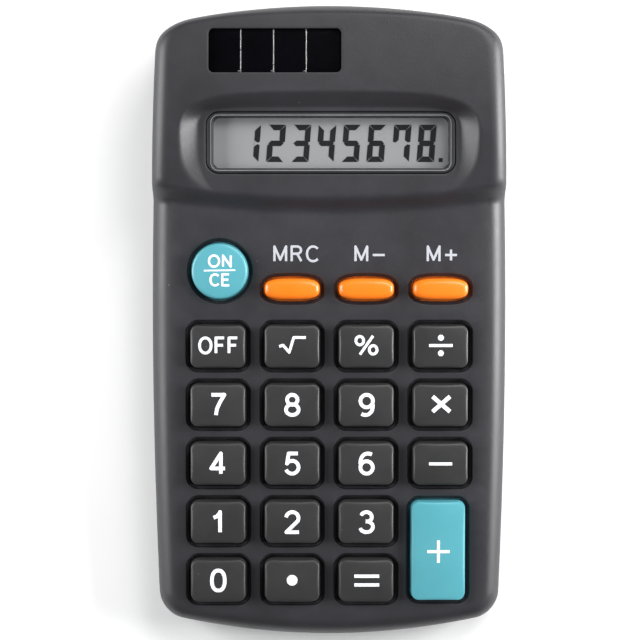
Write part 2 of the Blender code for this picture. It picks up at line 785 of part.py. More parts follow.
def keycap_mesh(name, outline_size):
    """A keycap: flange, tapered body and rounded top, from a rounded block."""
    work = bmesh.new()
    low, high = FLANGE_LEVELS
    grow = FLANGE_OVERLAP - LEDGE_WIDTH
    if outline_size is None:
        radius = ROUND_OPENING / 2 + grow
        bmesh.ops.create_cone(
            work, cap_ends=True, segments=20, radius1=radius, radius2=radius, depth=high - low
        )
    else:
        width, height, corner = outline_size
        bmesh.ops.create_cube(work, size=1.0)
        block = (width + 2 * grow, height + 2 * grow, high - low)
        bmesh.ops.scale(work, verts=work.verts, vec=block)
        upright = [e for e in work.edges if abs(e.verts[0].co.z - e.verts[1].co.z) > MM / 10]
        bmesh.ops.bevel(
            work,
            geom=upright,
            offset=corner + grow,
            offset_type="OFFSET",
            segments=3,
            profile=0.5,
            affect="EDGES",
        )
    bmesh.ops.translate(work, verts=work.verts, vec=(0, 0, (low + high) / 2))
    work.faces.ensure_lookup_table()
    top = max(work.faces, key=lambda f: f.calc_center_median().z)
    inset = FLANGE_OVERLAP + KEY_CLEARANCE
    bmesh.ops.inset_region(work, faces=[top], thickness=inset, use_even_offset=True)
    for rise, shrink in ((KEY_TOP - KEY_ROUND - high, KEY_TAPER), (KEY_ROUND, KEY_ROUND)):
        raised = bmesh.ops.extrude_discrete_faces(work, faces=[top])["faces"]
        top = raised[0]
        bmesh.ops.translate(work, verts=top.verts, vec=(0, 0, rise))
        span_x = max(v.co.x for v in top.verts)
        span_y = max(v.co.y for v in top.verts)
        squeeze = (1 - shrink / span_x, 1 - shrink / span_y, 1.0)
        bmesh.ops.scale(work, verts=top.verts, vec=squeeze)
    bmesh.ops.recalc_face_normals(work, faces=work.faces)
    mesh = bpy.data.meshes.new(name)
    work.to_mesh(mesh)
    work.free()
    return mesh


def make_keys(parts, face, looks):
    meshes = {
        "standard": keycap_mesh("standard keycap", KEY_OPENING),
        "small": keycap_mesh("small keycap", SMALL_OPENING),
        "tall": keycap_mesh("tall keycap", TALL_OPENING),
        "round": keycap_mesh("round keycap", None),
    }
    colours = {"standard": "black_key", "small": "orange_key", "tall": "teal_key", "round": "teal_key"}
    for name, (x, y), kind in key_places():
        key = add_object(name, meshes[kind], parts, face)
        key.location = (x, y, 0.0)
        finish(key, looks[colours[kind]])


def make_mat(parts, cutters, face, look):
    """Silicone sheet with one hollow dome under each key."""
    low, high = MAT_LEVELS
    corner = (-MAT_HALF_WIDTH, MAT_ENDS[0], low)
    opposite = (MAT_HALF_WIDTH, MAT_ENDS[1], high)
    mat = box("key_mat", corner, opposite, parts, face)
    places = [place for _, place, _ in key_places()]
    domes = cylinders(
        "domes",
        DOME_RADII[0],
        (low + high) / 2,
        DOME_TOP,
        places,
        8,
        cutters,
        face,
        DOME_RADII[1],
    )
    boolean(mat, as_cutter(domes), "UNION")
    hollows = cylinders(
        "dome hollows",
        DOME_HOLLOW,
        low - MM,
        DOME_TOP - DOME_SKIN,
        places,
        8,
        cutters,
        face,
        DOME_HOLLOW / 2,
    )
    boolean(mat, as_cutter(hollows), "DIFFERENCE")
    return finish(mat, look)


def make_board(parts, cutters, face, look):
    """Circuit board with notches for the case posts and holes for its own screws."""
    low, high = BOARD_LEVELS
    size = (2 * BOARD_HALF_WIDTH, BOARD_ENDS[1] - BOARD_ENDS[0], BOARD_CORNER)
    outline = rounded_rectangle(size, (0.0, sum(BOARD_ENDS) / 2))
    board = prism("circuit_board", [outline], low, high, parts, face)
    notch = WELL_RADIUS + 2 * GAP
    for name, radius, ys in (
        ("board notches", notch, CASE_SCREW_Y),
        ("board holes", BOARD_SCREW[0] + GAP, BOARD_SCREW_Y),
    ):
        holes = cylinders(name, radius, low - MM, high + MM, screw_places(ys), 12, cutters, face)
        boolean(board, as_cutter(holes), "DIFFERENCE")
    return finish(board, look)


def make_display(parts, face, looks):
    """Lens, liquid-crystal cell, reflector and contact strip, one above the other."""
    centre = (DISPLAY_X, DISPLAY_Y)
    lens = rounded_rectangle(LENS_RECESS, centre, -GAP, 3)
    lens = prism("display_window", [lens], *LENS_LEVELS, parts, face)
    finish(lens, looks["lens_plastic"])
    middle = (DISPLAY_X, DISPLAY_Y + LCD_SHIFT)
    cell = prism("lcd_glass", [rounded_rectangle(LCD_SIZE, middle)], *LCD_LEVELS, parts, face)
    finish(cell, looks["lcd_glass"])
    foil = rounded_rectangle(REFLECTOR_SIZE, (DISPLAY_X, DISPLAY_Y + REFLECTOR_SHIFT))
    foil = prism("lcd_reflector", [foil], *REFLECTOR_LEVELS, parts, face)
    finish(foil, looks["reflector_foil"])
    length, breadth = CONNECTOR_SIZE
    near = middle[1] - LCD_SIZE[1] / 2 + GAP
    strip = box(
        "lcd_connector",
        (DISPLAY_X - length / 2, near, BOARD_LEVELS[1] + GAP),
        (DISPLAY_X + length / 2, near + breadth, LCD_LEVELS[0] - GAP),
        parts,
        face,
    )
    finish(strip, looks["connector_rubber"])


def make_solar_cell(parts, look):
    width, depth, thickness = SOLAR_CELL
    top = head_top(SOLAR_CENTRE[1]) - SOLAR_SKIN - GAP
    x, y = SOLAR_CENTRE
    cell = box(
        "solar_cell",
        (x - width / 2, y - depth / 2, top - thickness),
        (x + width / 2, y + depth / 2, top),
        parts,
    )
    return finish(cell, look)


def make_board_parts(parts, face, looks):
    """The chip's resin cover and a capacitor, under the board."""
    steps = 4
    dome = arc((0.0, 0.0), 1.0, math.pi / 2, 0.0, steps)
    profile = [(CHIP_RADIUS * x, CHIP_HEIGHT * z) for x, z in dome]
    profile[0] = (0.0, CHIP_HEIGHT)
    chip = turned("chip_cover", [*profile, (0.0, 0.0)], 14, parts, face)
    chip.location = (0.0, CHIP_Y, BOARD_LEVELS[0] - GAP)
    chip.rotation_euler = (math.pi, 0.0, 0.0)
    finish(chip, looks["chip_resin"])
    radius, length = CAPACITOR
    rim = radius * 0.15
    profile = [(0.0, length), (radius - rim, length), (radius, length - rim), (radius, 0.0), (0.0, 0.0)]
    can = turned("capacitor", profile, 12, parts, face)
    can.location = (*CAPACITOR_PLACE, BOARD_LEVELS[0] - GAP - radius)
    can.rotation_euler = (0.0, math.pi / 2, 0.0)
    finish(can, looks["capacitor_can"])


def screw_profile(sizes):
    shank, head, height, length = sizes
    tip = SCREW_TIP
    return [
        (0.0, height + length),
        (shank / 2, height + length),
        (shank, height + length - tip),
        (shank, height),
        (head, height),
        (head, height * 0.35),
        (head * 0.8, 0.0),
        (0.0, 0.0),
    ]


def make_screws(parts, face, look):
    for index, (x, y) in enumerate(screw_places(CASE_SCREW_Y), start=1):
        screw = turned(f"case_screw_{index}", screw_profile(CASE_SCREW), 10, parts)
        screw.location = (x, y, CASE_SCREW_FOOT)
        finish(screw, look)
    foot = BOARD_LEVELS[0] - GAP - BOARD_SCREW[2]
    for index, (x, y) in enumerate(screw_places(BOARD_SCREW_Y), start=1):
        screw = turned(f"board_screw_{index}", screw_profile(BOARD_SCREW), 10, parts, face)
        screw.location = (x, y, foot)
        finish(screw, look)


def make_battery(parts, looks):
    """The cell lies along X with its nub at +X, between a plate and a coil spring."""
    shoulder = CELL_LENGTH - NUB[1]
    profile = [
        (0.0, CELL_LENGTH),
        (NUB[0], CELL_LENGTH),
        (NUB[0], shoulder),
        (CELL_RADIUS - CELL_RIM, shoulder),
        (CELL_RADIUS, shoulder - CELL_RIM),
        (CELL_RADIUS, CELL_RIM),
        (CELL_RADIUS - CELL_RIM, 0.0),
        (0.0, 0.0),
    ]
    cell = turned("battery_cell", profile, 20, parts)
    cell.location = (CELL_TIP_X - CELL_LENGTH, CELL_Y, CELL_Z)
    cell.rotation_euler = (0.0, math.pi / 2, 0.0)
    finish(cell, looks["cell_sleeve"])

    thick, breadth, height = CONTACT_SIZE
    for name, side in (("battery_contact_plus", 1), ("battery_contact_minus", -1)):
        edges = sorted((side * (CELL_TIP_X + GAP), side * (CELL_TIP_X + GAP + thick)))
        plate = box(
            name,
            (edges[0], CELL_Y - breadth / 2, CONTACT_Z - height / 2),
            (edges[1], CELL_Y + breadth / 2, CONTACT_Z + height / 2),
            parts,
        )
        finish(plate, looks["contact_steel"])

    count = SPRING_TURNS * SPRING_STEPS
    start = -CELL_TIP_X + SPRING_WIRE
    end = CELL_TIP_X - CELL_LENGTH - GAP - SPRING_WIRE
    coil = []
    for i in range(count + 1):
        share = i / count
        angle = 2 * math.pi * SPRING_TURNS * share
        radius = SPRING_RADII[0] + (SPRING_RADII[1] - SPRING_RADII[0]) * share
        across = radius * math.cos(angle)
        up = radius * math.sin(angle)
        coil.append((start + (end - start) * share, CELL_Y + across, CELL_Z + up))
    finish(wire("battery_spring", coil, SPRING_WIRE, parts), looks["spring_steel"])


def make_leads(parts, looks):
    """Leads that pass over the bay's wall and down to the board's upper edge."""
    down_y = BAY_WALL_Y[0] - LEAD_BEND
    foot = face_height(down_y) + BOARD_LEVELS[1] + LEAD_FOOT
    over = BAY_HEIGHT + LEAD_RISE
    tail = [(BAY_WALL_Y[0] + LEAD_LAP, over), (down_y, over - LEAD_DROP), (down_y, foot)]
    solar_y = SOLAR_CENTRE[1] - SOLAR_CELL[1] / 2 + SOLAR_LEAD_START
    solar_z = head_top(SOLAR_CENTRE[1]) - SOLAR_SKIN - 2 * GAP - SOLAR_CELL[2] - LEAD_RADIUS
    back, down = SOLAR_LEAD_BEND
    solar = [(solar_y, solar_z), (solar_y - back, solar_z - down), *tail]
    contact_z = CONTACT_Z + CONTACT_SIZE[2] / 2 + GAP + LEAD_RADIUS
    start, rise = BATTERY_LEAD_RUN
    battery = [(CELL_Y - start, contact_z), (CELL_Y - rise, over), *tail]
    for name, x, route, look in (
        ("solar_wire_plus", SOLAR_LEAD_X[0], solar, "red_lead"),
        ("solar_wire_minus", SOLAR_LEAD_X[1], solar, "black_lead"),
        ("battery_wire_plus", BATTERY_LEAD_X, battery, "red_lead"),
        ("battery_wire_minus", -BATTERY_LEAD_X, battery, "black_lead"),
    ):
        points = smooth_route([(x, y, z) for y, z in route], 3)
        finish(wire(name, points, LEAD_RADIUS, parts), looks[look])


def main():
    clear_scene()
    parts = new_collection("pocket calculator")
    cutters = new_collection("cutters")
    looks = make_materials()
    face = bpy.data.objects.new("keypad_plane", None)
    parts.objects.link(face)
    face.location = (0.0, 0.0, FACE_HEIGHT)
    face.rotation_euler = (FACE_TILT, 0.0, 0.0)

    make_front_case(parts, cutters, face, looks["case_plastic"])
    make_rear_case(parts, cutters, looks["back_plastic"])
    make_battery_cover(parts, cutters, looks["back_plastic"])
    make_display(parts, face, looks)
    make_solar_cell(parts, looks["solar_glass"])
    make_keys(parts, face, looks)
    make_mat(parts, cutters, face, looks["mat_silicone"])
    make_board(parts, cutters, face, looks["board_laminate"])
    make_board_parts(parts, face, looks)
    make_screws(parts, face, looks["screw_steel"])
    make_battery(parts, looks)
    make_leads(parts, looks)


main()
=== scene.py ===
"""Pocket calculator: the surfaces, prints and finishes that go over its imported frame.

Lengths in the classes are in millimetres; `to_mesh` turns them into metres. The keypad, the
keys and the display lie on a plane tilted about X, which `Tilt` carries into the case's frame.
"""

import logging
import math
from dataclasses import dataclass
from enum import Enum
from typing import Callable, Sequence

import bmesh
import bpy
import numpy as np
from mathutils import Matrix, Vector
from mathutils.geometry import delaunay_2d_cdt


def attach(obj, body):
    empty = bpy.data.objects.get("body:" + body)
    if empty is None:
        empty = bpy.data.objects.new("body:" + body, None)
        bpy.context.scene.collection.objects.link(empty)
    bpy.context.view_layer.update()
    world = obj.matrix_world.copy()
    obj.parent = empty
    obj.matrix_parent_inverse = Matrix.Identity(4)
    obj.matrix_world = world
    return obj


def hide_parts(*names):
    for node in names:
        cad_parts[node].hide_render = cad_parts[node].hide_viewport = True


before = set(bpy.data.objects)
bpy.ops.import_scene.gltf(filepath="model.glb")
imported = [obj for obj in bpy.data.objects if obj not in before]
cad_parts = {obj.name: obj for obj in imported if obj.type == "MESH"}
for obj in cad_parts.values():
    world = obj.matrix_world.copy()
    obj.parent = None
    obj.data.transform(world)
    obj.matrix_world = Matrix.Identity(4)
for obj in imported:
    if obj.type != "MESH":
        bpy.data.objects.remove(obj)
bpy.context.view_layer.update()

MM = 0.001
TAU = 2 * math.pi
LOG = logging.getLogger("calculator")
Height = Callable[[np.ndarray, np.ndarray], np.ndarray]


class Kind(Enum):
    """The four shapes of keys and of their openings."""

    STANDARD = "standard"
    SMALL = "small"
    TALL = "tall"
    ROUND = "round"


# --------------------------------------------------------------------------- plain geometry


@dataclass(frozen=True)
class Tilt:
    """The keypad's plane: a height over the origin and a slope that rises towards +Y."""

    height: float = 11.5
    angle: float = math.radians(2.37)

    def place(self, x: np.ndarray, v: np.ndarray, level: np.ndarray) -> np.ndarray:
        """Points of the tilted plane: turned about X by the slope, then lifted by the height.

        Args:
            x: distances across.
            v: distances along the plane.
            level: distances out of the plane.

        Returns:
            Points as rows of x, y, z.
        """
        x, v, level = np.broadcast_arrays(x, v, level)
        y = v * math.cos(self.angle) - level * math.sin(self.angle)
        z = self.height + v * math.sin(self.angle) + level * math.cos(self.angle)
        return np.stack([x, y, z], axis=-1)

    def ring(self, ring: np.ndarray, level: float) -> np.ndarray:
        """A ring of x, v carried to one level of the plane."""
        return self.place(ring[:, 0], ring[:, 1], level)

    def face(self, y: np.ndarray) -> np.ndarray:
        """Height of the plane over a point of the case's frame: height + y tan(angle)."""
        return self.height + y * math.tan(self.angle)


TILT = Tilt()


def arc(centre: tuple[float, float], radius: float, start: float, end: float, steps: int) -> np.ndarray:
    """Points of a circular arc, centre + radius (cos a, sin a), both ends included.

    Args:
        centre: middle of the circle.
        radius: its radius.
        start: first angle.
        end: last angle.
        steps: stretches between the points.

    Returns:
        Rows of x, y.
    """
    a = np.linspace(start, end, steps + 1)
    return np.stack([centre[0] + radius * np.cos(a), centre[1] + radius * np.sin(a)], axis=1)


def turn(count: int) -> np.ndarray:
    """Equal angles once round, from zero and short of a full turn."""
    return np.arange(count) * TAU / count


def quarter_round(radius: float, steps: int) -> tuple[np.ndarray, np.ndarray]:
    """A quarter circle from flat to upright: r (1 - sin a) inwards and r (1 - cos a) along."""
    a = np.linspace(0, TAU / 4, steps + 1)
    return radius * (1 - np.sin(a)), radius * (1 - np.cos(a))


def polar(radius: np.ndarray, angle: np.ndarray, height: np.ndarray) -> np.ndarray:
    """Points about Z, (r cos a, r sin a, h), as an array whose last axis is x, y, z."""
    radius, angle, height = np.broadcast_arrays(radius, angle, height)
    return np.stack([radius * np.cos(angle), radius * np.sin(angle), height], axis=-1)


def grid(across: tuple[float, float], along: tuple[float, float], step: float) -> np.ndarray:
    """Plan points at one step both ways, from the first place up to the last."""
    x, y = np.meshgrid(np.arange(*across, step), np.arange(*along, step))
    return np.column_stack([x.ravel(), y.ravel()])


def loops_of(rings: Sequence[np.ndarray]) -> list[list[int]]:
    """The numbers of each ring's points when the rings are laid end to end."""
    starts = np.cumsum([0] + [len(ring) for ring in rings])
    return [list(range(a, b)) for a, b in zip(starts[:-1], starts[1:])]


def densify(path: np.ndarray, longest: float) -> np.ndarray:
    """Cuts a path's long stretches in equal parts, so that it can follow a domed surface.

    Args:
        path: rows of x, y.
        longest: longest stretch that stays whole.

    Returns:
        The path with the points put in.
    """
    step = np.diff(path, axis=0)
    parts = np.maximum(1, np.ceil(np.linalg.norm(step, axis=1) / longest)).astype(int)
    index = np.repeat(np.arange(len(step)), parts)
    share = (np.arange(len(index)) - np.repeat(np.cumsum(parts) - parts, parts)) / parts[index]
    return np.concatenate([path[index] + step[index] * share[:, None], path[-1:]])


def rounded_rectangle(width: float, depth: float, corner: float, grow: float = 0.0,
                      steps: int = 8, sides: int = 12) -> np.ndarray:
    """Ring of a rectangle with round corners, each side cut into equal parts.

    Args:
        width: size across.
        depth: size along.
        corner: corner radius.
        grow: how far every side is moved out.
        steps: stretches in each corner.
        sides: stretches in each side.

    Returns:
        Rows of x, y, anticlockwise from the right side's upper end.
    """
    corner = max(corner + grow, 0.05)
    reach = np.array([width / 2 + grow - corner, depth / 2 + grow - corner])
    signs = ((1, 1), (-1, 1), (-1, -1), (1, -1))
    arcs = [arc(tuple(reach * s), corner, k * TAU / 4, (k + 1) * TAU / 4, steps)
            for k, s in enumerate(signs)]
    ring = []
    for one, two in zip(arcs, arcs[1:] + arcs[:1]):
        share = np.linspace(0, 1, sides + 1)[1:-1, None]
        ring += [one, one[-1] + (two[0] - one[-1]) * share]
    return np.concatenate(ring)


def level_ring(ring: np.ndarray, z: float) -> np.ndarray:
    """A plan ring at one height, as rows of x, y, z."""
    return np.column_stack([ring, np.full(len(ring), z)])


def superellipse(half_x: float, half_y: float, power: float, angles: np.ndarray) -> np.ndarray:
    """Points of |x/a|^p + |y/b|^p = 1, at the angles of its round form.

    Args:
        half_x: reach across.
        half_y: reach along.
        power: 2 is an ellipse, more is squarer.
        angles: the angles.

    Returns:
        Rows of x, y.
    """
    c, s = np.cos(angles), np.sin(angles)
    return np.stack([half_x * np.sign(c) * np.abs(c) ** (2 / power),
                     half_y * np.sign(s) * np.abs(s) ** (2 / power)], axis=1)


@dataclass
class Skin:
    """Points and faces of one surface while it is put together."""

    points: np.ndarray
    faces: list[list[int]]

    @staticmethod
    def joined(parts: Sequence["Skin"]) -> "Skin":
        """All the parts as one surface.

        Args:
            parts: the surfaces.

        Returns:
            One surface, its points not yet merged.
        """
        faces, start = [], 0
        for part in parts:
            faces += [[i + start for i in face] for face in part.faces]
            start += len(part.points)
        return Skin(np.concatenate([part.points for part in parts]), faces)


def loft(rings: np.ndarray, caps: tuple[bool, bool] = (False, False), around: bool = False) -> Skin:
    """Carries a profile round a ring: point (k, i) joins (k, i+1), (k+1, i+1) and (k+1, i).

    Args:
        rings: array of profile point, ring point, xyz.
        caps: whether the first and the last ring are closed with a middle point.
        around: whether the last ring joins the first.

    Returns:
        The lofted surface.
    """
    rows, count = rings.shape[:2]
    k, i = np.meshgrid(np.arange(rows if around else rows - 1), np.arange(count), indexing="ij")
    k, i, j, m = k.ravel(), i.ravel(), (i.ravel() + 1) % count, (k.ravel() + 1) % rows
    faces = np.stack([k * count + i, k * count + j, m * count + j, m * count + i], axis=1).tolist()
    points = rings.reshape(-1, 3)
    ring = np.arange(count)
    for end, closed in enumerate(caps):
        if closed:
            points = np.concatenate([points, rings[-end].mean(axis=0)[None]])
            rim = ring + (rows - 1) * count * end
            middle = np.full(count, len(points) - 1)
            fan = [middle, np.roll(rim, -1), rim] if end == 0 else [middle, rim, np.roll(rim, -1)]
            faces += np.stack(fan, axis=1).tolist()
    return Skin(points, faces)


def sheet(outer: np.ndarray, holes: Sequence[np.ndarray], inside: np.ndarray, height: Height,
          down: bool = False) -> Skin:
    """A height field z = height(x, y) over a plan with holes, on Delaunay triangles.

    Args:
        outer: ring of x, y, z round the sheet.
        holes: rings of x, y, z that are left open.
        inside: more plan points that the surface passes through.
        height: the height over each of those points.
        down: whether the surface faces down.

    Returns:
        The sheet, whose rings keep their own points.
    """
    rings = [outer, *holes]
    points = np.concatenate([*rings, np.column_stack([inside, height(*inside.T)])])
    plan = [Vector(p) for p in points[:, :2]]
    _, _, faces, origins, _, owners = delaunay_2d_cdt(plan, [], loops_of(rings), 1, 1e-6)
    kept = np.array([f for f, o in zip(faces, owners) if list(o) == [0]])
    used, kept = np.unique(kept, return_inverse=True)
    kept = kept.reshape(-1, 3)[:, :: -1 if down else 1]
    return Skin(points[[origins[i][0] for i in used]], kept.tolist())


def lid(ring: np.ndarray, down: bool = False) -> Skin:
    """A flat sheet that closes a level ring of x, y, z, facing up or down."""
    return sheet(ring, [], np.zeros((0, 2)), lambda x, y: 0 * x, down)


def stacked(rings: Sequence[np.ndarray]) -> Skin:
    """Level rings carried from one to the next, with a flat sheet at each end."""
    return Skin.joined([lid(rings[0], True), lid(rings[-1]), loft(np.array(rings))])


def soft_block(low: Sequence[float], high: Sequence[float], corner: float, edge: float) -> Skin:
    """A block with round upright corners and a quarter-round along its top and bottom edges.

    Args:
        low: lowest corner.
        high: highest corner.
        corner: radius of the upright corners.
        edge: radius of the other edges.

    Returns:
        A closed surface.
    """
    low, high = np.array(low), np.array(high)
    size, middle = high - low, (low + high) / 2
    inwards, along = quarter_round(edge, 3)
    grow = -np.concatenate([inwards, along])
    rise = np.concatenate([low[2] + along, high[2] - inwards])
    rings = [level_ring(rounded_rectangle(size[0], size[1], corner, g, 4, 3) + middle[:2], z)
             for g, z in zip(grow, rise)]
    return loft(np.array(rings), (True, True))


def side_block(side: int, across: tuple[float, float], along: tuple[float, float],
               up: tuple[float, float], corner: float, edge: float) -> Skin:
    """A soft block on one side of the middle.

    Args:
        side: 1 for the right, -1 for the left.
        across: its near and far distances from the middle.
        along: its start and end.
        up: its bottom and top.
        corner: radius of the upright corners.
        edge: radius of the other edges.

    Returns:
        A closed surface.
    """
    left, right = sorted((side * across[0], side * across[1]))
    return soft_block((left, along[0], up[0]), (right, along[1], up[1]), corner, edge)


def lathe(profile: Sequence[tuple[float, float]], count: int) -> Skin:
    """Turns a profile of (height, radius) points about Z: (r cos a, r sin a, h).

    Args:
        profile: from the bottom's middle to the top's middle.
        count: points round.

    Returns:
        A closed surface.
    """
    h, r = np.array(profile).T[..., None]
    return loft(polar(r, turn(count), h), (True, True))


def tube(path: np.ndarray, radius: float, count: int = 10) -> Skin:
    """A round wire: at each point of the path a circle across the path's direction.

    Args:
        path: rows of x, y, z.
        radius: the wire's radius.
        count: points round.

    Returns:
        A closed surface.
    """
    along = np.gradient(path, axis=0)
    along /= np.linalg.norm(along, axis=1)[:, None]
    side = np.cross(along, [0.31, 0.17, 0.93])
    side /= np.linalg.norm(side, axis=1)[:, None]
    other = np.cross(along, side)
    a = turn(count)[None, :, None]
    rings = path[:, None] + radius * (np.cos(a) * side[:, None] + np.sin(a) * other[:, None])
    return loft(rings, (True, True))


# --------------------------------------------------------------------------- meshes and pieces


def to_mesh(name: str, skin: Skin, sharp: float = 32.0) -> bpy.types.Object:
    """Makes an object from a surface: points in metres, doubles merged, faces outwards.

    Args:
        name: the piece's name.
        skin: the surface in millimetres.
        sharp: edges that turn by more degrees than this stay sharp.

    Returns:
        The object, at the origin.
    """
    mesh = bpy.data.meshes.new(name)
    mesh.from_pydata((skin.points * MM).tolist(), [], skin.faces)
    work = bmesh.new()
    work.from_mesh(mesh)
    bmesh.ops.remove_doubles(work, verts=work.verts, dist=2e-7)
    bmesh.ops.dissolve_degenerate(work, edges=work.edges, dist=1e-8)
    bmesh.ops.recalc_face_normals(work, faces=work.faces)
    work.to_mesh(mesh)
    work.free()
    mesh.shade_smooth()
    mesh.set_sharp_from_angle(angle=math.radians(sharp))
    obj = bpy.data.objects.new(name, mesh)
    bpy.context.scene.collection.objects.link(obj)
    return obj


def carve(obj: bpy.types.Object, tools: Sequence[Skin], operation: str = "DIFFERENCE") -> bpy.types.Object:
    """Cuts closed surfaces out of a piece, adds them, or keeps what it shares with them.

    Args:
        obj: the piece.
        tools: the closed surfaces.
        operation: DIFFERENCE, INTERSECT or UNION.

    Returns:
        The same piece with its new mesh.
    """
    for tool in tools:
        cutter = to_mesh("cutter", tool)
        step = obj.modifiers.new("cut", "BOOLEAN")
        step.operation, step.object, step.solver = operation, cutter, "EXACT"
        bpy.context.view_layer.update()
        made = bpy.data.meshes.new_from_object(obj.evaluated_get(bpy.context.evaluated_depsgraph_get()))
        obj.modifiers.clear()
        obj.data = made
        bpy.data.objects.remove(cutter, do_unlink=True)
    obj.data.set_sharp_from_angle(angle=math.radians(32))
    return obj


def fit_out(obj: bpy.types.Object, finish: bpy.types.Material, body: str, slot: str,
            stands_for: Sequence[str] = ()) -> bpy.types.Object:
    """Gives a piece its finish, its body and the frame nodes that it stands for.

    Args:
        obj: the piece.
        finish: its material.
        body: the body that it moves with.
        slot: the record's material slot; not used.
        stands_for: the nodes that it replaces.

    Returns:
        The piece.
    """
    obj.data.materials.clear()
    obj.data.materials.append(finish)
    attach(obj, body)
    if stands_for:
        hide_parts(*stands_for)
    LOG.info("%s: %d faces, rides on %s", obj.name, len(obj.data.polygons), body)
    return obj


# --------------------------------------------------------------------------- shared effects


class Tree:
    """Shorthand for putting nodes into a material or a node group."""

    def __init__(self, tree: bpy.types.NodeTree) -> None:
        """Keeps the tree that the nodes go into."""
        self.tree = tree

    def add(self, kind: str, settings: dict | None = None, **inputs: object) -> bpy.types.Node:
        """Adds a node, then sets its properties and feeds its inputs.

        Args:
            kind: the node's type.
            settings: its properties.
            **inputs: value or output socket for each input; _ stands for a space.

        Returns:
            The node.
        """
        node = self.tree.nodes.new(kind)
        for key, value in (settings or {}).items():
            setattr(node, key, value)
        for key, value in inputs.items():
            numbered = key[0] == "i" and key[1:].isdigit()
            socket = node.inputs[int(key[1:]) if numbered else key.replace("_", " ")]
            if isinstance(value, bpy.types.NodeSocket):
                self.tree.links.new(value, socket)
            else:
                socket.default_value = value
        return node

    def math(self, operation: str, a: object, b: object = 0.0) -> bpy.types.NodeSocket:
        """The output of one arithmetic step on two values."""
        return self.add("ShaderNodeMath", {"operation": operation}, i0=a, i1=b).outputs[0]

    def mix(self, share: object, a: object, b: object) -> bpy.types.NodeSocket:
        """The colour between a and b."""
        node = self.add("ShaderNodeMix", {"data_type": "RGBA"}, i0=share)
        for index, value in ((6, a), (7, b)):
            if isinstance(value, bpy.types.NodeSocket):
                self.tree.links.new(value, node.inputs[index])
            else:
                node.inputs[index].default_value = (*value, 1.0)
        return node.outputs[2]

    def ramp(self, value: object, low: float, high: float, to_low: float = 0.0,
             to_high: float = 1.0) -> bpy.types.NodeSocket:
        """Carries the range low..high, clamped, to the range to_low..to_high."""
        return self.add("ShaderNodeMapRange", {"clamp": True}, i0=value, i1=low, i2=high, i3=to_low,
                        i4=to_high).outputs[0]

    def object_place(self) -> bpy.types.NodeSocket:
        """The point's place on its own object."""
        return self.add("ShaderNodeTexCoord").outputs["Object"]

    def noise(self, place: object, scale: object, detail: float, **inputs: float) -> bpy.types.Node:
        """A noise over a place, whose outputs are a value and a colour."""
        return self.add("ShaderNodeTexNoise", Vector=place, Scale=scale, Detail=detail, **inputs)

    def dress(self, shader: bpy.types.Node, colour: object, roughness: object, height: object = None,
              relief: float = 0.0, strength: float = 1.0) -> None:
        """Feeds a shader its colour, its roughness and, where there is a height, a bump.

        Args:
            shader: the Principled shader.
            colour: socket of the colour.
            roughness: socket of the roughness.
            height: socket of the bump's height.
            relief: the bump's full height in millimetres.
            strength: the bump's strength.
        """
        self.tree.links.new(colour, shader.inputs["Base Color"])
        self.tree.links.new(roughness, shader.inputs["Roughness"])
        if height is not None:
            bump = self.add("ShaderNodeBump", Strength=strength, Distance=relief * MM, Height=height)
            self.tree.links.new(bump.outputs[0], shader.inputs["Normal"])


class Effect:
    """A shared effect, built once as a node group and placed with its own values."""

    name = "effect"
    inputs: tuple[tuple[str, float], ...] = ()
    outputs: tuple[str, ...] = ()

    @classmethod
    def group(cls) -> bpy.types.NodeTree:
        """The group, made the first time that it is asked for.

        Returns:
            The node group.
        """
        if cls.name in bpy.data.node_groups:
            return bpy.data.node_groups[cls.name]
        made = bpy.data.node_groups.new(cls.name, "ShaderNodeTree")
        for title, value in cls.inputs:
            socket = made.interface.new_socket(name=title, in_out="INPUT", socket_type="NodeSocketFloat")
            socket.default_value = value
        for title in cls.outputs:
            made.interface.new_socket(name=title, in_out="OUTPUT", socket_type="NodeSocketFloat")
        tree = Tree(made)
        source = tree.add("NodeGroupInput")
        target = tree.add("NodeGroupOutput")
        for title, value in zip(cls.outputs, cls.wire(tree, source)):
            made.links.new(value, target.inputs[title])
        return made

    @classmethod
    def wire(cls, tree: Tree, source: bpy.types.Node) -> tuple[bpy.types.NodeSocket, ...]:
        """The sockets that the group puts out, in the order of its outputs."""
        raise NotImplementedError

    @classmethod
    def place(cls, tree: Tree, **values: float) -> bpy.types.Node:
        """A node that uses the group with the values given."""
        return tree.add("ShaderNodeGroup", {"node_tree": cls.group()}, **values)


class Grain(Effect):
    """Spark-eroded texture of moulded plastic: fine round bumps over a broad soft mottle."""

    name = "moulded grain"
    inputs = (("Fine", 3500.0), ("Broad", 90.0))
    outputs = ("Height", "Mottle")

    @classmethod
    def wire(cls, tree: Tree, source: bpy.types.Node) -> tuple[bpy.types.NodeSocket, ...]:
        """A noise and a cell pattern make the height, a broad noise the mottle."""
        place = tree.object_place()
        fine = source.outputs["Fine"]
        noise = tree.noise(place, fine, 3.0, Roughness=0.65).outputs[0]
        coarse = tree.math("MULTIPLY", fine, 0.7)
        cells = tree.add("ShaderNodeTexVoronoi", Vector=place, Scale=coarse).outputs[0]
        height = tree.math("ADD", noise, tree.math("MULTIPLY", cells, 0.45))
        broad = tree.noise(place, source.outputs["Broad"], 6.0, Roughness=0.7).outputs[0]
        return height, tree.ramp(broad, 0.3, 0.7)


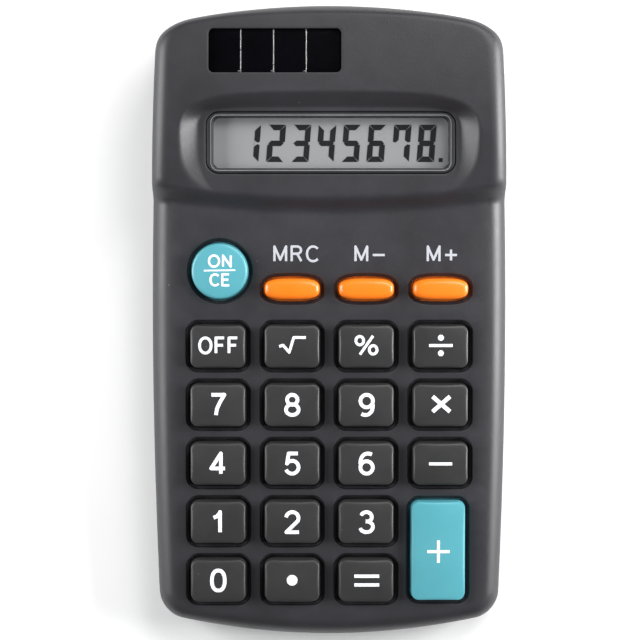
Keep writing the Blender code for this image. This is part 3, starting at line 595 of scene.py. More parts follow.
class Dust(Effect):
    """Scattered specks: the cores of a few cells, kept where the cell's own random number is under the
    amount.
    """

    name = "settled dust"
    inputs = (("Scale", 1300.0), ("Amount", 0.5))
    outputs = ("Mask",)

    @classmethod
    def wire(cls, tree: Tree, source: bpy.types.Node) -> tuple[bpy.types.NodeSocket, ...]:
        """A cell's core shows where the cell's own random number is under the amount."""
        place = tree.object_place()
        cells = tree.add("ShaderNodeTexVoronoi", Vector=place, Scale=source.outputs["Scale"])
        core = tree.ramp(cells.outputs["Distance"], 0.08, 0.22, 1.0, 0.0)
        pick = tree.add("ShaderNodeSeparateColor", Color=cells.outputs["Color"]).outputs[0]
        chosen = tree.math("LESS_THAN", pick, source.outputs["Amount"])
        return (tree.math("MULTIPLY", core, chosen),)


class Wear(Effect):
    """Rubbed edges: where a rounded normal leaves the true one, broken up by a noise."""

    name = "edge wear"
    inputs = (("Reach", 0.0003), ("Amount", 0.5))
    outputs = ("Mask",)

    @classmethod
    def wire(cls, tree: Tree, source: bpy.types.Node) -> tuple[bpy.types.NodeSocket, ...]:
        """1 - (rounded normal . true normal), ramped and multiplied by a noise."""
        soft = tree.add("ShaderNodeBevel", {"samples": 4}, Radius=source.outputs["Reach"]).outputs[0]
        true = tree.add("ShaderNodeNewGeometry").outputs["Normal"]
        turn = tree.add("ShaderNodeVectorMath", {"operation": "DOT_PRODUCT"}, i0=soft, i1=true)
        edge = tree.ramp(tree.math("SUBTRACT", 1.0, turn.outputs["Value"]), 0.01, 0.12)
        place = tree.object_place()
        noise = tree.noise(place, 900.0, 4.0).outputs[0]
        broken = tree.math("MULTIPLY", edge, tree.ramp(noise, 0.35, 0.65))
        return (tree.math("MULTIPLY", broken, source.outputs["Amount"]),)


# --------------------------------------------------------------------------- finishes

Colour = tuple[float, float, float]


def new_material(name: str) -> tuple[bpy.types.Material, Tree, bpy.types.Node]:
    """An empty node material with its Principled shader.

    Args:
        name: the material's name.

    Returns:
        The material, its tree and the shader node.
    """
    material = bpy.data.materials.new(name)
    material.use_nodes = True
    return material, Tree(material.node_tree), material.node_tree.nodes["Principled BSDF"]


@dataclass(frozen=True)
class Moulded:
    """Moulded plastic or rubber: a grained skin, a mottle of two near shades, dust and wear."""

    name: str
    colour: Colour
    shade: Colour
    roughness: float = 0.45
    grain: float = 3500.0
    relief: float = 0.02
    dust: float = 0.0
    dust_colour: Colour = (0.4, 0.4, 0.42)
    wear: float = 0.0
    wear_colour: Colour = (0.16, 0.16, 0.17)
    coat: float = 0.0
    specular: float = 0.5

    def make(self) -> bpy.types.Material:
        """Builds the material.

        Returns:
            The material.
        """
        material, tree, shader = new_material(self.name)
        grain = Grain.place(tree, Fine=self.grain)
        colour = tree.mix(grain.outputs["Mottle"], self.colour, self.shade)
        if self.wear:
            worn = Wear.place(tree, Amount=self.wear).outputs[0]
            colour = tree.mix(worn, colour, self.wear_colour)
        if self.dust:
            specks = Dust.place(tree, Amount=self.dust).outputs[0]
            colour = tree.mix(tree.math("MULTIPLY", specks, 0.3), colour, self.dust_colour)
        spread = tree.ramp(grain.outputs["Mottle"], 0.0, 1.0, self.roughness - 0.05, self.roughness + 0.05)
        tree.dress(shader, colour, spread, grain.outputs["Height"], self.relief)
        shader.inputs["Specular IOR Level"].default_value = self.specular
        shader.inputs["Coat Weight"].default_value = self.coat
        shader.inputs["Coat Roughness"].default_value = 0.12
        return material


@dataclass(frozen=True)
class Metal:
    """Plated or drawn metal: streaks along one axis, darker stains and rubbed edges."""

    name: str
    colour: Colour
    stain: Colour
    roughness: float = 0.3
    stretch: tuple[float, float, float] = (1.0, 1.0, 1.0)
    metallic: float = 1.0

    def make(self) -> bpy.types.Material:
        """Builds the material.

        Returns:
            The material.
        """
        material, tree, shader = new_material(self.name)
        place = tree.object_place()
        turned = tree.add("ShaderNodeMapping", Vector=place, Scale=self.stretch).outputs[0]
        streak = tree.noise(turned, 2500.0, 4.0).outputs[0]
        grain = Grain.place(tree, Fine=1800.0, Broad=350.0)
        worn = Wear.place(tree, Amount=0.6).outputs[0]
        colour = tree.mix(tree.math("MULTIPLY", grain.outputs["Mottle"], 0.6), self.colour, self.stain)
        colour = tree.mix(worn, colour, tuple(min(1.0, c * 1.4) for c in self.colour))
        spread = tree.ramp(streak, 0.3, 0.7, self.roughness - 0.08, self.roughness + 0.1)
        tree.dress(shader, colour, spread, streak, 0.006, 0.6)
        shader.inputs["Metallic"].default_value = self.metallic
        return material


@dataclass(frozen=True)
class Clear:
    """Clear pane: see-through, with a reflection that grows towards grazing angles."""

    name: str
    tint: Colour = (0.96, 0.97, 0.98)
    roughness: float = 0.08

    def make(self) -> bpy.types.Material:
        """Builds the material.

        Returns:
            The material.
        """
        material, tree, shader = new_material(self.name)
        tree.tree.nodes.remove(shader)
        smudge = Grain.place(tree, Fine=600.0, Broad=160.0).outputs["Mottle"]
        rough = tree.ramp(smudge, 0.0, 1.0, self.roughness * 0.5, self.roughness * 2)
        gloss = tree.add("ShaderNodeBsdfAnisotropic", Color=(1, 1, 1, 1), Roughness=rough).outputs[0]
        through = tree.add("ShaderNodeBsdfTransparent", Color=(*self.tint, 1)).outputs[0]
        outside = tree.math("SUBTRACT", 1.0, tree.add("ShaderNodeNewGeometry").outputs["Backfacing"])
        share = tree.math("MULTIPLY", tree.add("ShaderNodeFresnel", IOR=1.3).outputs[0], outside)
        mixed = tree.add("ShaderNodeMixShader", i0=share, i1=through, i2=gloss).outputs[0]
        out = next(n for n in tree.tree.nodes if n.type == "OUTPUT_MATERIAL")
        tree.tree.links.new(mixed, out.inputs["Surface"])
        return material


@dataclass(frozen=True)
class Laminate:
    """Circuit board: solder mask over copper tracks that run in steps under it."""

    name: str
    mask: Colour = (0.02, 0.12, 0.045)
    track: Colour = (0.05, 0.25, 0.08)

    def make(self) -> bpy.types.Material:
        """Builds the material.

        Returns:
            The material.
        """
        material, tree, shader = new_material(self.name)
        place = tree.object_place()
        bent = tree.noise(place, 60.0, 0.0).outputs["Color"]
        shifted = tree.add("ShaderNodeVectorMath", {"operation": "MULTIPLY_ADD"}, i0=bent, i1=(0.012,) * 3,
                           i2=place).outputs[0]
        lines = tree.add("ShaderNodeTexWave", {"bands_direction": "X"}, Vector=shifted,
                         Scale=180.0).outputs[1]
        track = tree.ramp(lines, 0.55, 0.62)
        grain = Grain.place(tree, Fine=5000.0)
        colour = tree.mix(track, self.mask, self.track)
        colour = tree.mix(tree.math("MULTIPLY", grain.outputs["Mottle"], 0.3), colour, (0.01, 0.05, 0.02))
        tree.dress(shader, colour, tree.ramp(grain.outputs["Mottle"], 0, 1, 0.25, 0.42), track, 0.03, 0.7)
        return material


@dataclass(frozen=True)
class Photocell:
    """Photovoltaic film: near black, faintly violet, with fine cross lines under gloss."""

    name: str

    def make(self) -> bpy.types.Material:
        """Builds the material.

        Returns:
            The material.
        """
        material, tree, shader = new_material(self.name)
        place = tree.object_place()
        lines = tree.add("ShaderNodeTexWave", {"bands_direction": "Y"}, Vector=place, Scale=700.0).outputs[1]
        grain = Grain.place(tree, Fine=2500.0, Broad=120.0)
        colour = tree.mix(grain.outputs["Mottle"], (0.0012, 0.0012, 0.0016), (0.002, 0.0016, 0.003))
        colour = tree.mix(tree.ramp(lines, 0.9, 0.99, 0.0, 0.1), colour, (0.01, 0.01, 0.012))
        tree.dress(shader, colour, tree.ramp(grain.outputs["Mottle"], 0, 1, 0.2, 0.3))
        shader.inputs["Specular IOR Level"].default_value = 0.05
        return material


@dataclass(frozen=True)
class Sleeve:
    """Printed film over a cell's can: a dark body with a bright band near its plus end."""

    name: str
    edge_x: float = 12.0
    bare_x: float = 22.85

    def make(self) -> bpy.types.Material:
        """Builds the material.

        Returns:
            The material.
        """
        material, tree, shader = new_material(self.name)
        place = tree.object_place()
        along = tree.add("ShaderNodeSeparateXYZ", Vector=place).outputs[0]
        band = tree.math("GREATER_THAN", along, self.edge_x * MM)
        bare = tree.math("GREATER_THAN", along, self.bare_x * MM)
        grain = Grain.place(tree, Fine=1500.0, Broad=200.0)
        colour = tree.mix(band, (0.015, 0.03, 0.02), (0.6, 0.28, 0.05))
        colour = tree.mix(bare, colour, (0.55, 0.54, 0.52))
        colour = tree.mix(tree.math("MULTIPLY", grain.outputs["Mottle"], 0.25), colour, (0.02, 0.02, 0.02))
        tree.tree.links.new(tree.math("MAXIMUM", bare, 0.25), shader.inputs["Metallic"])
        tree.dress(shader, colour, tree.ramp(grain.outputs["Mottle"], 0, 1, 0.2, 0.34))
        return material


class Finishes:
    """Every finish of the calculator, made once."""

    def __init__(self) -> None:
        """Makes the materials."""
        self.case = Moulded("charcoal_case", (0.022, 0.022, 0.0255), (0.028, 0.0275, 0.033), 0.45, 3400.0,
                            0.014, dust=0.001, wear=0.15).make()
        self.back = Moulded("charcoal_back", (0.026, 0.026, 0.029), (0.034, 0.034, 0.038), 0.5, 2400.0, 0.035,
                            dust=0.012, wear=0.3).make()
        self.black = Moulded("black_key_plastic", (0.024, 0.024, 0.0245), (0.03, 0.03, 0.031), 0.4, 5200.0,
                             0.006, dust=0.001, wear=0.2).make()
        self.teal = Moulded("teal_key_plastic", (0.077, 0.325, 0.385), (0.088, 0.35, 0.41), 0.4, 5000.0,
                            0.006, dust=0.002, dust_colour=(0.6, 0.8, 0.85), coat=0.2).make()
        self.orange = Moulded("orange_key_plastic", (0.95, 0.19, 0.005), (0.98, 0.21, 0.007), 0.4, 5000.0,
                              0.005, coat=0.3).make()
        self.print = Moulded("white_print", (0.84, 0.86, 0.92), (0.9, 0.91, 0.95), 0.5, 4000.0, 0.004).make()
        self.case_print = Moulded("case_print", (0.44, 0.46, 0.51), (0.5, 0.51, 0.55), 0.5, 4000.0,
                                  0.004).make()
        self.border = Moulded("lens_border_print", (0.012, 0.0125, 0.015), (0.02, 0.021, 0.025), 0.55,
                              1800.0, 0.008, dust=0.002).make()
        # painted highlight: a light grey ring that stands in for the light caught by the display window's
        # edge
        self.painted_rim_highlight = Moulded("lens_painted_rim_highlight", (0.28, 0.28, 0.3), (0.34, 0.34, 0.36), 0.35, 3000.0,
                                0.004).make()
        self.lens = Clear("lens_acrylic").make()
        self.crystal = Moulded("liquid_crystal", (0.315, 0.31, 0.303), (0.33, 0.325, 0.318), 0.3, 7000.0,
                               0.002, specular=0.3).make()
        self.ink = Moulded("crystal_segment", (0.008, 0.008, 0.009), (0.012, 0.012, 0.013), 0.35, 6000.0,
                           0.002).make()
        self.photocell = Photocell("photovoltaic_film").make()
        self.silver = Metal("silver_print", (0.7, 0.7, 0.7), (0.5, 0.5, 0.5), 0.3).make()
        self.steel = Metal("zinc_screw", (0.6, 0.6, 0.62), (0.35, 0.35, 0.36), 0.32).make()
        self.spring = Metal("spring_wire", (0.62, 0.61, 0.6), (0.4, 0.38, 0.36), 0.28).make()
        self.contact = Metal("contact_plate", (0.7, 0.68, 0.62), (0.45, 0.42, 0.38), 0.25).make()
        self.foil = Metal("reflector_sheet", (0.62, 0.62, 0.6), (0.5, 0.5, 0.48), 0.35).make()
        self.can = Metal("capacitor_sleeve", (0.03, 0.05, 0.18), (0.02, 0.03, 0.1), 0.35, metallic=0.2).make()
        self.sleeve = Sleeve("cell_sleeve_print").make()
        self.laminate = Laminate("board_mask").make()
        self.resin = Moulded("chip_resin_black", (0.006, 0.006, 0.006), (0.012, 0.012, 0.012), 0.3, 700.0,
                             0.08, coat=0.4).make()
        self.silicone = Moulded("mat_silicone_grey", (0.36, 0.38, 0.4), (0.42, 0.44, 0.46), 0.6, 1500.0, 0.02,
                                dust=0.08).make()
        self.rubber = Moulded("connector_rubber_dark", (0.05, 0.05, 0.05), (0.12, 0.11, 0.11), 0.7, 2500.0,
                              0.02).make()
        self.red = Moulded("red_vinyl", (0.5, 0.02, 0.015), (0.6, 0.03, 0.02), 0.4, 2500.0, 0.008).make()
        self.dark = Moulded("black_vinyl", (0.012, 0.012, 0.012), (0.02, 0.02, 0.02), 0.4, 2500.0,
                            0.008).make()


# --------------------------------------------------------------------------- the keys' layout


# half sizes and power of a superellipse; width, depth and corner of a rounded rectangle
ROUND_SIZES = {Kind.ROUND: (5.95, 5.95, 2.0), Kind.SMALL: (5.86, 2.82, 3.0)}
SQUARE_SIZES = {Kind.STANDARD: (11.72, 9.48, 2.2), Kind.TALL: (11.5, 19.8, 2.2)}


@dataclass(frozen=True)
class Opening:
    """One key's opening on the keypad's plane."""

    key: str
    x: float
    v: float
    kind: Kind

    def ring(self, grow: float) -> np.ndarray:
        """The opening's ring, moved out by grow and put at its place.

        Args:
            grow: how far every side is moved out.

        Returns:
            Rows of x, v.
        """
        if self.kind in ROUND_SIZES:
            half_x, half_y, power = ROUND_SIZES[self.kind]
            ring = superellipse(half_x + grow, half_y + grow, power, turn(96))
        else:
            ring = rounded_rectangle(*SQUARE_SIZES[self.kind], grow, 8, 16 if self.kind is Kind.TALL else 12)
        return ring + [self.x, self.v]


@dataclass(frozen=True)
class Keypad:
    """Where the keys are: columns and rows at a fixed pitch, and the odd ones on their own."""

    pitch_x: float = 13.5
    pitch_y: float = 10.7
    first_v: float = -4.9
    memory_v: float = 5.55
    rows: tuple[tuple[str, ...], ...] = (
        ("off", "root", "percent", "divide"),
        ("7", "8", "9", "multiply"),
        ("4", "5", "6", "minus"),
        ("1", "2", "3"),
        ("0", "point", "equals"),
    )

    def column(self, index: int) -> float:
        """Distance of a column from the middle."""
        return (index - 1.5) * self.pitch_x

    def openings(self) -> list[Opening]:
        """All the openings.

        Returns:
            One for each key.
        """
        made = [Opening(key, self.column(c), self.first_v - r * self.pitch_y, Kind.STANDARD)
                for r, row in enumerate(self.rows) for c, key in enumerate(row)]
        made += [Opening(key, self.column(c), self.memory_v, Kind.SMALL)
                 for c, key in ((1, "mrc"), (2, "memory_minus"), (3, "memory_plus"))]
        return made + [Opening("on_ce", -19.9, 8.8, Kind.ROUND), Opening("plus", 19.9, -42.25, Kind.TALL)]


# --------------------------------------------------------------------------- the case


@dataclass(frozen=True)
class CasePlan:
    """Plan of the case: bowed ends and sides joined by corner arcs, and its main heights."""

    half_width: float = 32.5
    half_length: float = 58.0
    side_radius: float = 1047.0
    end_radius: float = 128.0
    head_corner: float = 8.0
    foot_corner: float = 5.5
    parting: float = 6.0
    gap: float = 0.3

    def quarter(self, corner: float, inset: float, steps: tuple[int, int, int]) -> np.ndarray:
        """From the middle of the right side to the middle of the far end.

        The corner circle touches both bowed lines from inside, so its middle is where circles
        of radius side - corner and end - corner about their own middles cross.

        Args:
            corner: corner radius.
            inset: how far the line is pulled in.
            steps: stretches in the side, the corner and the end.

        Returns:
            Rows of x, y.
        """
        side = np.array([self.half_width - self.side_radius, 0.0])
        end = np.array([0.0, self.half_length - self.end_radius])
        apart = float(np.linalg.norm(end - side))
        to_side, to_end = self.side_radius - corner, self.end_radius - corner
        along = (to_side**2 - to_end**2 + apart**2) / (2 * apart)
        across = math.sqrt(to_side**2 - along**2)
        unit = (end - side) / apart
        centre = side + along * unit + across * np.array([-unit[1], unit[0]])
        side_angle = math.atan2(*(centre - side)[::-1])
        end_angle = math.atan2(*(centre - end)[::-1])
        return np.concatenate([
            arc(tuple(side), self.side_radius - inset, 0.0, side_angle, steps[0]),
            arc(tuple(centre), corner - inset, side_angle, end_angle, steps[1])[1:],
            arc(tuple(end), self.end_radius - inset, end_angle, TAU / 4, steps[2])[1:],
        ])

    def outline(self, inset: float, steps: tuple[int, int, int] = (60, 22, 26)) -> np.ndarray:
        """The whole outline, pulled in by inset, anticlockwise.

        Args:
            inset: how far the line is pulled in.
            steps: stretches in each quarter's side, corner and end.

        Returns:
            Rows of x, y.
        """
        head = self.quarter(self.head_corner, inset, steps)
        foot = self.quarter(self.foot_corner, inset, steps)
        return np.concatenate([head, head[-2::-1] * [-1, 1], foot[1:] * [-1, -1], foot[-2:0:-1] * [1, -1]])


PLAN = CasePlan()
DISPLAY_CENTRE = (0.3, 32.0)
DISPLAY_WINDOW = (42.6, 9.2)
SOLAR_CENTRE = (-9.75, 48.15)
SOLAR_WINDOW = (23.8, 7.9)
CASE_SCREW_Y = (38.0, -47.0)
BOARD_SCREW_Y = (12.0, -20.0)
SCREW_X = 28.15


def screw_places(along: tuple[float, float]) -> list[tuple[float, float]]:
    """Plan places of four screws: right and left at each of two distances along."""
    return [(x, y) for y in along for x in (SCREW_X, -SCREW_X)]


@dataclass(frozen=True)
class FrontShape:
    """Heights of the upper shell: keypad face, step, ridged head and scooped basin."""

    head: float = 18.0
    ridge_y: float = 44.0
    fore: tuple[float, float] = (2.8, 20.0)
    back: tuple[float, float] = (0.7, 14.0)
    step_y: float = 19.0
    step_sag: float = 2.6
    step_run: float = 3.3
    basin_y: float = 31.0
    basin_level: float = 2.2
    floor: tuple[float, float, float, float] = (23.6, 7.2, 14.0, 7.0)
    rim: tuple[float, float, float, float] = (27.2, 9.9, 14.0, 3.8)
    tail_power: float = 2.3
    wall_lift: float = 0.15
    wall_power: float = 1.35
    blend: float = 0.28
    side_fall: tuple[float, float, float] = (26.3, 5.0, 0.75)
    foot_fall: tuple[float, float, float] = (53.0, 4.0, 0.3)
    edge: float = 2.9
    wall: float = 1.6
    lean: tuple[float, float] = (1.4, 1.6)
    lean_y: tuple[float, float] = (53.4, 5.0)
    lean_z: tuple[float, float] = (5.0, 13.5)

    def head_top(self, y: np.ndarray) -> np.ndarray:
        """The ridge: its height less a square law of the distance, steeper towards the keypad."""
        drop, run = (np.where(y < self.ridge_y, fore, back) for fore, back in zip(self.fore, self.back))
        return self.head - drop * ((y - self.ridge_y) / run) ** 2

    def norm(self, shape: tuple[float, float, float, float], x: np.ndarray, y: np.ndarray) -> np.ndarray:
        """Superellipse measure: 1 on the ring, more outside, with its own power in each half.

        Args:
            shape: half width, reach back, reach forward, power.
            x: distances across.
            y: distances along.

        Returns:
            The measure at each point.
        """
        d = y - self.basin_y
        power = np.where(d >= 0, shape[3], self.tail_power)
        reach = np.where(d >= 0, shape[1], shape[2])
        return (np.abs(x / shape[0]) ** power + np.abs(d / reach) ** power) ** (1 / power)

    def scoop(self, x: np.ndarray, y: np.ndarray) -> np.ndarray:
        """0 on the basin's floor ring, 1 on its rim ring, in the ratio of the two measures."""
        inner, outer = self.norm(self.floor, x, y), self.norm(self.rim, x, y)
        return np.clip((inner - 1) / np.maximum(inner - outer, 1e-4), -1, 3)

    def top(self, x: np.ndarray, y: np.ndarray) -> np.ndarray:
        """Height of the upper surface before its outer edge is rounded.

        The basin's wall rises from the floor as a power of the scoop, a smooth minimum joins
        it to the ridge, and an S-shaped step carries the head down to the keypad face.

        Args:
            x: distances across.
            y: distances along.

        Returns:
            Heights.
        """
        face = TILT.face(y)
        head = self.head_top(y)
        floor = face + self.basin_level
        share = np.maximum(self.scoop(x, y), 0.0)
        wall = floor + (np.abs(head - floor) + self.wall_lift) * share**self.wall_power
        soft = self.blend
        h = np.clip(0.5 + 0.5 * (head - wall) / soft, 0, 1)
        upper = head * (1 - h) + wall * h - soft * h * (1 - h)
        for away, (start, run, depth) in ((np.abs(x), self.side_fall), (-y, self.foot_fall)):
            face = face - depth * (np.maximum(away - start, 0) / run) ** 2
        s = np.clip((y - self.step_y - self.step_sag * (x / PLAN.half_width) ** 2) / self.step_run, 0, 1)
        return face + (upper - face) * s**2 * (3 - 2 * s)

    def leaned(self, points: np.ndarray) -> np.ndarray:
        """Draws the head's end wall in as it rises, most at its corners.

        The pull grows evenly with the height and as an S-shaped step of y; the fourth power
        of x brings the step's start back and adds to the pull.

        Args:
            points: rows of x, y, z.

        Returns:
            The points, with the head's end drawn in.
        """
        x, y, z = points.T
        corner = (x / PLAN.half_width) ** 4
        start = self.lean_y[0] - self.lean_y[1] * corner
        s = np.clip((y - start) / (PLAN.half_length - start), 0, 1)
        up = np.clip((z - self.lean_z[0]) / (self.lean_z[1] - self.lean_z[0]), 0, 1)
        pull = (self.lean[0] + self.lean[1] * corner) * up * s**2 * (3 - 2 * s)
        return np.column_stack([x, y - pull, z])

    def drop(self, inset: np.ndarray) -> np.ndarray:
        """Fall of the rounded outer edge: r - sqrt(r^2 - (r - inset)^2)."""
        short = np.clip(self.edge - inset, 0, self.edge)
        return self.edge - np.sqrt(self.edge**2 - short**2)


@dataclass
class FrontShell:
    """The upper half of the case in one piece, with every opening."""

    finishes: Finishes
    keypad: Keypad
    shape: FrontShape = FrontShape()
    lens: tuple[float, float, float] = (45.2, 11.2, 2.4)
    window: tuple[float, float, float] = (*DISPLAY_WINDOW, 1.4)
    lens_floor: float = 1.0
    solar_window: tuple[float, float, float] = (*SOLAR_WINDOW, 0.9)
    solar_pocket: tuple[float, float, float] = (26.0, 10.1, 0.4)
    solar_skin: float = 0.7
    key_edge: float = 0.22
    fine: float = 0.4
    coarse: float = 3.0

    def key_band(self, opening: Opening) -> np.ndarray:
        """Rings from the face over a small round edge, down to the ledge and through it."""
        grow, down = quarter_round(self.key_edge, 4)
        grow = [*grow, 0.0, -0.08, -0.42, -0.5, -0.5]
        level = [*-down, -0.7, -0.95, -1.1, -1.2, -self.shape.wall]
        return np.array([TILT.ring(opening.ring(g), z) for g, z in zip(grow, level)])

    def lens_band(self) -> np.ndarray:
        """Rings from the basin's floor down to the lens's seat, then through the window."""
        floor, seat = self.shape.basin_level, self.lens_floor
        profile = ((self.lens, 0.25, floor), (self.lens, 0.1, floor - 0.04), (self.lens, 0.0, floor - 0.2),
                   (self.lens, 0.0, seat), (self.window, 0.1, seat), (self.window, 0.0, seat - 0.1),
                   (self.window, 0.0, floor - 3.6))
        return np.array([TILT.ring(rounded_rectangle(*size, grow, 10, 40) + DISPLAY_CENTRE, level)
                         for size, grow, level in profile])

    def solar_band(self) -> np.ndarray:
        """Rings from the ridge into the photovoltaic window and out into its pocket."""
        rings = []
        for size, grow, depth in (
            (self.solar_window, 0.2, 0.0), (self.solar_window, 0.07, 0.03), (self.solar_window, 0.0, 0.16),
            (self.solar_window, 0.0, self.solar_skin), (self.solar_pocket, 0.0, self.solar_skin),
            (self.solar_pocket, 0.0, self.shape.wall),
        ):
            ring = rounded_rectangle(*size, grow, 8, 24) + SOLAR_CENTRE
            z = self.shape.head_top(ring[:, 1]) - depth
            rings.append(np.column_stack([ring, z]))
        return np.array(rings)

    def inner_points(self) -> np.ndarray:
        """Plan points inside the sheet: coarse on the flat face, fine on the head and basin.

        Returns:
            Rows of x, y, clear of the basin's wall, whose own rings follow its shape.
        """
        head = grid((-29.613, 29.7), (18.217, 55.4), self.fine)
        share = self.shape.scoop(head[:, 0], head[:, 1])
        head = head[(share < -0.12) | (share > 1.35) | (head[:, 1] < 22)]
        face = grid((-28.513, 28.6), (-54.017, 17.6), self.coarse)
        floor_ring, rim_ring = (self.ring_of(s) for s in (self.shape.floor, self.shape.rim))
        share = np.linspace(-0.05, 1.3, 19)[:, None, None]
        wall = (floor_ring + (rim_ring - floor_ring) * share).reshape(-1, 2)
        points = np.concatenate([head, face, wall[wall[:, 1] > 22.2]])
        edge = PLAN.outline(self.shape.edge)
        near = np.min(np.hypot(*(edge[:, None] - points).transpose(2, 0, 1)), axis=0)
        half = np.abs(points) <= np.array([31.0, 56.5])
        return points[(near > 0.3) & half.all(axis=1)]

    def ring_of(self, shape: tuple[float, float, float, float]) -> np.ndarray:
        """A basin ring: each direction's unit vector over its own superellipse measure.

        Args:
            shape: half width, reach back, reach forward, power.

        Returns:
            Rows of x, y.
        """
        a = turn(480)
        ray = np.column_stack([np.cos(a), np.sin(a)])
        far = ray / self.shape.norm(shape, ray[:, 0], ray[:, 1] + self.shape.basin_y)[:, None]
        return far + [0.0, self.shape.basin_y]

    def make(self) -> None:
        """Top sheet, outer wall, opening bands and ceiling, merged into one closed shell."""
        shape = self.shape
        bands = [self.key_band(o) for o in self.keypad.openings()] + [self.lens_band(), self.solar_band()]
        rings = []
        for inset in quarter_round(shape.edge, 8)[0]:
            ring = PLAN.outline(inset)
            rings.append(np.column_stack([ring, shape.top(*ring.T) - shape.drop(inset)]))
        foot = PLAN.parting + PLAN.gap / 2
        for inset, z in ((0.0, foot + 0.12), (0.1, foot), (0.6, foot), (0.6, PLAN.parting + 1.3),
                         (shape.wall, PLAN.parting + 1.3)):
            rings.append(level_ring(PLAN.outline(inset), z))
        inner = PLAN.outline(shape.wall + 0.3)
        rings.append(np.column_stack([inner, shape.top(*inner.T) - shape.wall]))
        inside = self.inner_points()
        top = sheet(rings[0], [b[0] for b in bands], inside, shape.top)
        under = [b[-1] for b in bands]
        ceiling = sheet(rings[-1], under, inside[::3], lambda x, y: shape.top(x, y) - shape.wall, True)
        skin = Skin.joined([top, ceiling, loft(np.array(rings)), *[loft(b) for b in bands]])
        obj = to_mesh("front_shell", Skin(shape.leaned(skin.points), skin.faces), 40)
        fit_out(obj, self.finishes.case, "body", "case_plastic", ["front_case"])


# --------------------------------------------------------------------------- strokes and legends


class Glyph:
    """Line drawings of the generic legends, in a box one unit high, as centre lines of strokes."""

    @staticmethod
    def bow(x: float, y: float, rx: float, ry: float, start: float, end: float,
            power: float = 2.0) -> np.ndarray:
        """Part of a superellipse, from one angle in degrees to another.

        Args:
            x: middle across.
            y: middle up.
            rx: reach across.
            ry: reach up.
            start: first angle.
            end: last angle.
            power: 2 is an ellipse, more is squarer.

        Returns:
            Rows of x, y.
        """
        a = np.radians(np.linspace(start, end, max(5, int(abs(end - start) / 14))))
        return superellipse(rx, ry, power, a) + [x, y]

    @staticmethod
    def line(*points: tuple[float, float]) -> np.ndarray:
        """A stroke of straight stretches through the points."""
        return np.array(points, float)

    @staticmethod
    def chain(*parts: np.ndarray) -> np.ndarray:
        """Several stretches as one stroke."""
        return np.concatenate(parts)

    @classmethod
    def strokes(cls, sign: str) -> tuple[list[np.ndarray], float]:
        """Centre lines of one sign, and its width.

        Args:
            sign: the sign.

        Returns:
            The lines, and how wide they are together.
        """
        bow, line, chain = cls.bow, cls.line, cls.chain
        table: dict[str, tuple[list[np.ndarray], float]] = {
            "0": ([bow(0.28, 0.5, 0.28, 0.5, 0, 360, 2.3)], 0.56),
            "1": ([line((0.0, 0.72), (0.14, 0.78), (0.26, 0.94), (0.28, 1.0), (0.28, 0.0))], 0.4),
            "2": ([chain(bow(0.28, 0.7, 0.27, 0.3, 172, -28), line((0.02, 0.0), (0.57, 0.0)))], 0.57),
            "3": ([chain(bow(0.27, 0.76, 0.235, 0.24, 160, -70), line((0.24, 0.54))),
                   chain(line((0.24, 0.54)), bow(0.27, 0.27, 0.28, 0.27, 70, -165))], 0.55),
            "4": ([line((0.42, 0.0), (0.42, 1.0), (0.0, 0.26), (0.6, 0.26))], 0.6),
            "5": ([chain(line((0.52, 1.0), (0.12, 1.0), (0.05, 0.5)),
                         bow(0.27, 0.32, 0.28, 0.32, 132, -158))], 0.56),
            "6": ([bow(0.28, 0.31, 0.27, 0.31, 0, 360), bow(0.34, 0.52, 0.33, 0.48, 185, 62, 2.2)], 0.56),
            "7": ([line((0.0, 1.0), (0.56, 1.0), (0.38, 0.66), (0.24, 0.32), (0.19, 0.0))], 0.56),
            "8": ([bow(0.28, 0.755, 0.225, 0.245, 0, 360), bow(0.28, 0.265, 0.275, 0.265, 0, 360)], 0.56),
            "9": ([bow(0.28, 0.69, 0.27, 0.31, 0, 360), bow(0.22, 0.48, 0.33, 0.48, 5, -118, 2.2)], 0.56),
            "O": ([bow(0.38, 0.5, 0.38, 0.5, 0, 360, 2.1)], 0.76),
            "F": ([line((0.0, 0.0), (0.0, 1.0), (0.54, 1.0)), line((0.0, 0.52), (0.47, 0.52))], 0.54),
            "N": ([line((0.0, 0.0), (0.0, 1.0), (0.58, 0.0), (0.58, 1.0))], 0.58),
            "C": ([bow(0.38, 0.5, 0.38, 0.5, 42, 318, 2.1)], 0.68),
            "E": ([line((0.56, 1.0), (0.0, 1.0), (0.0, 0.0), (0.58, 0.0)),
                   line((0.0, 0.52), (0.5, 0.52))], 0.58),
            "M": ([line((0.0, 0.0), (0.0, 1.0), (0.36, 0.1), (0.72, 1.0), (0.72, 0.0))], 0.72),
            "R": ([chain(line((0.0, 0.0), (0.0, 1.0), (0.34, 1.0)), bow(0.34, 0.755, 0.24, 0.245, 80, -80),
                         line((0.34, 0.51), (0.0, 0.51))), line((0.34, 0.5), (0.6, 0.0))], 0.6),
            "-": ([line((0.0, 0.42), (0.74, 0.42))], 0.74),
            "+": ([line((0.0, 0.42), (0.74, 0.42)), line((0.37, 0.05), (0.37, 0.79))], 0.74),
            "x": ([line((0.0, 0.0), (1.0, 1.0)), line((0.0, 1.0), (1.0, 0.0))], 1.0),
            "=": ([line((0.0, 0.0), (1.75, 0.0)), line((0.0, 1.0), (1.75, 1.0))], 1.75),
            "root": ([line((0.0, 0.42), (0.22, 0.5), (0.56, 0.04), (0.82, 1.0), (1.5, 1.0))], 1.5),
            "percent": ([bow(0.27, 0.76, 0.22, 0.24, 0, 360), bow(1.03, 0.24, 0.22, 0.24, 0, 360),
                         line((0.28, -0.03), (1.02, 1.03))], 1.3),
        }
        return table[sign]


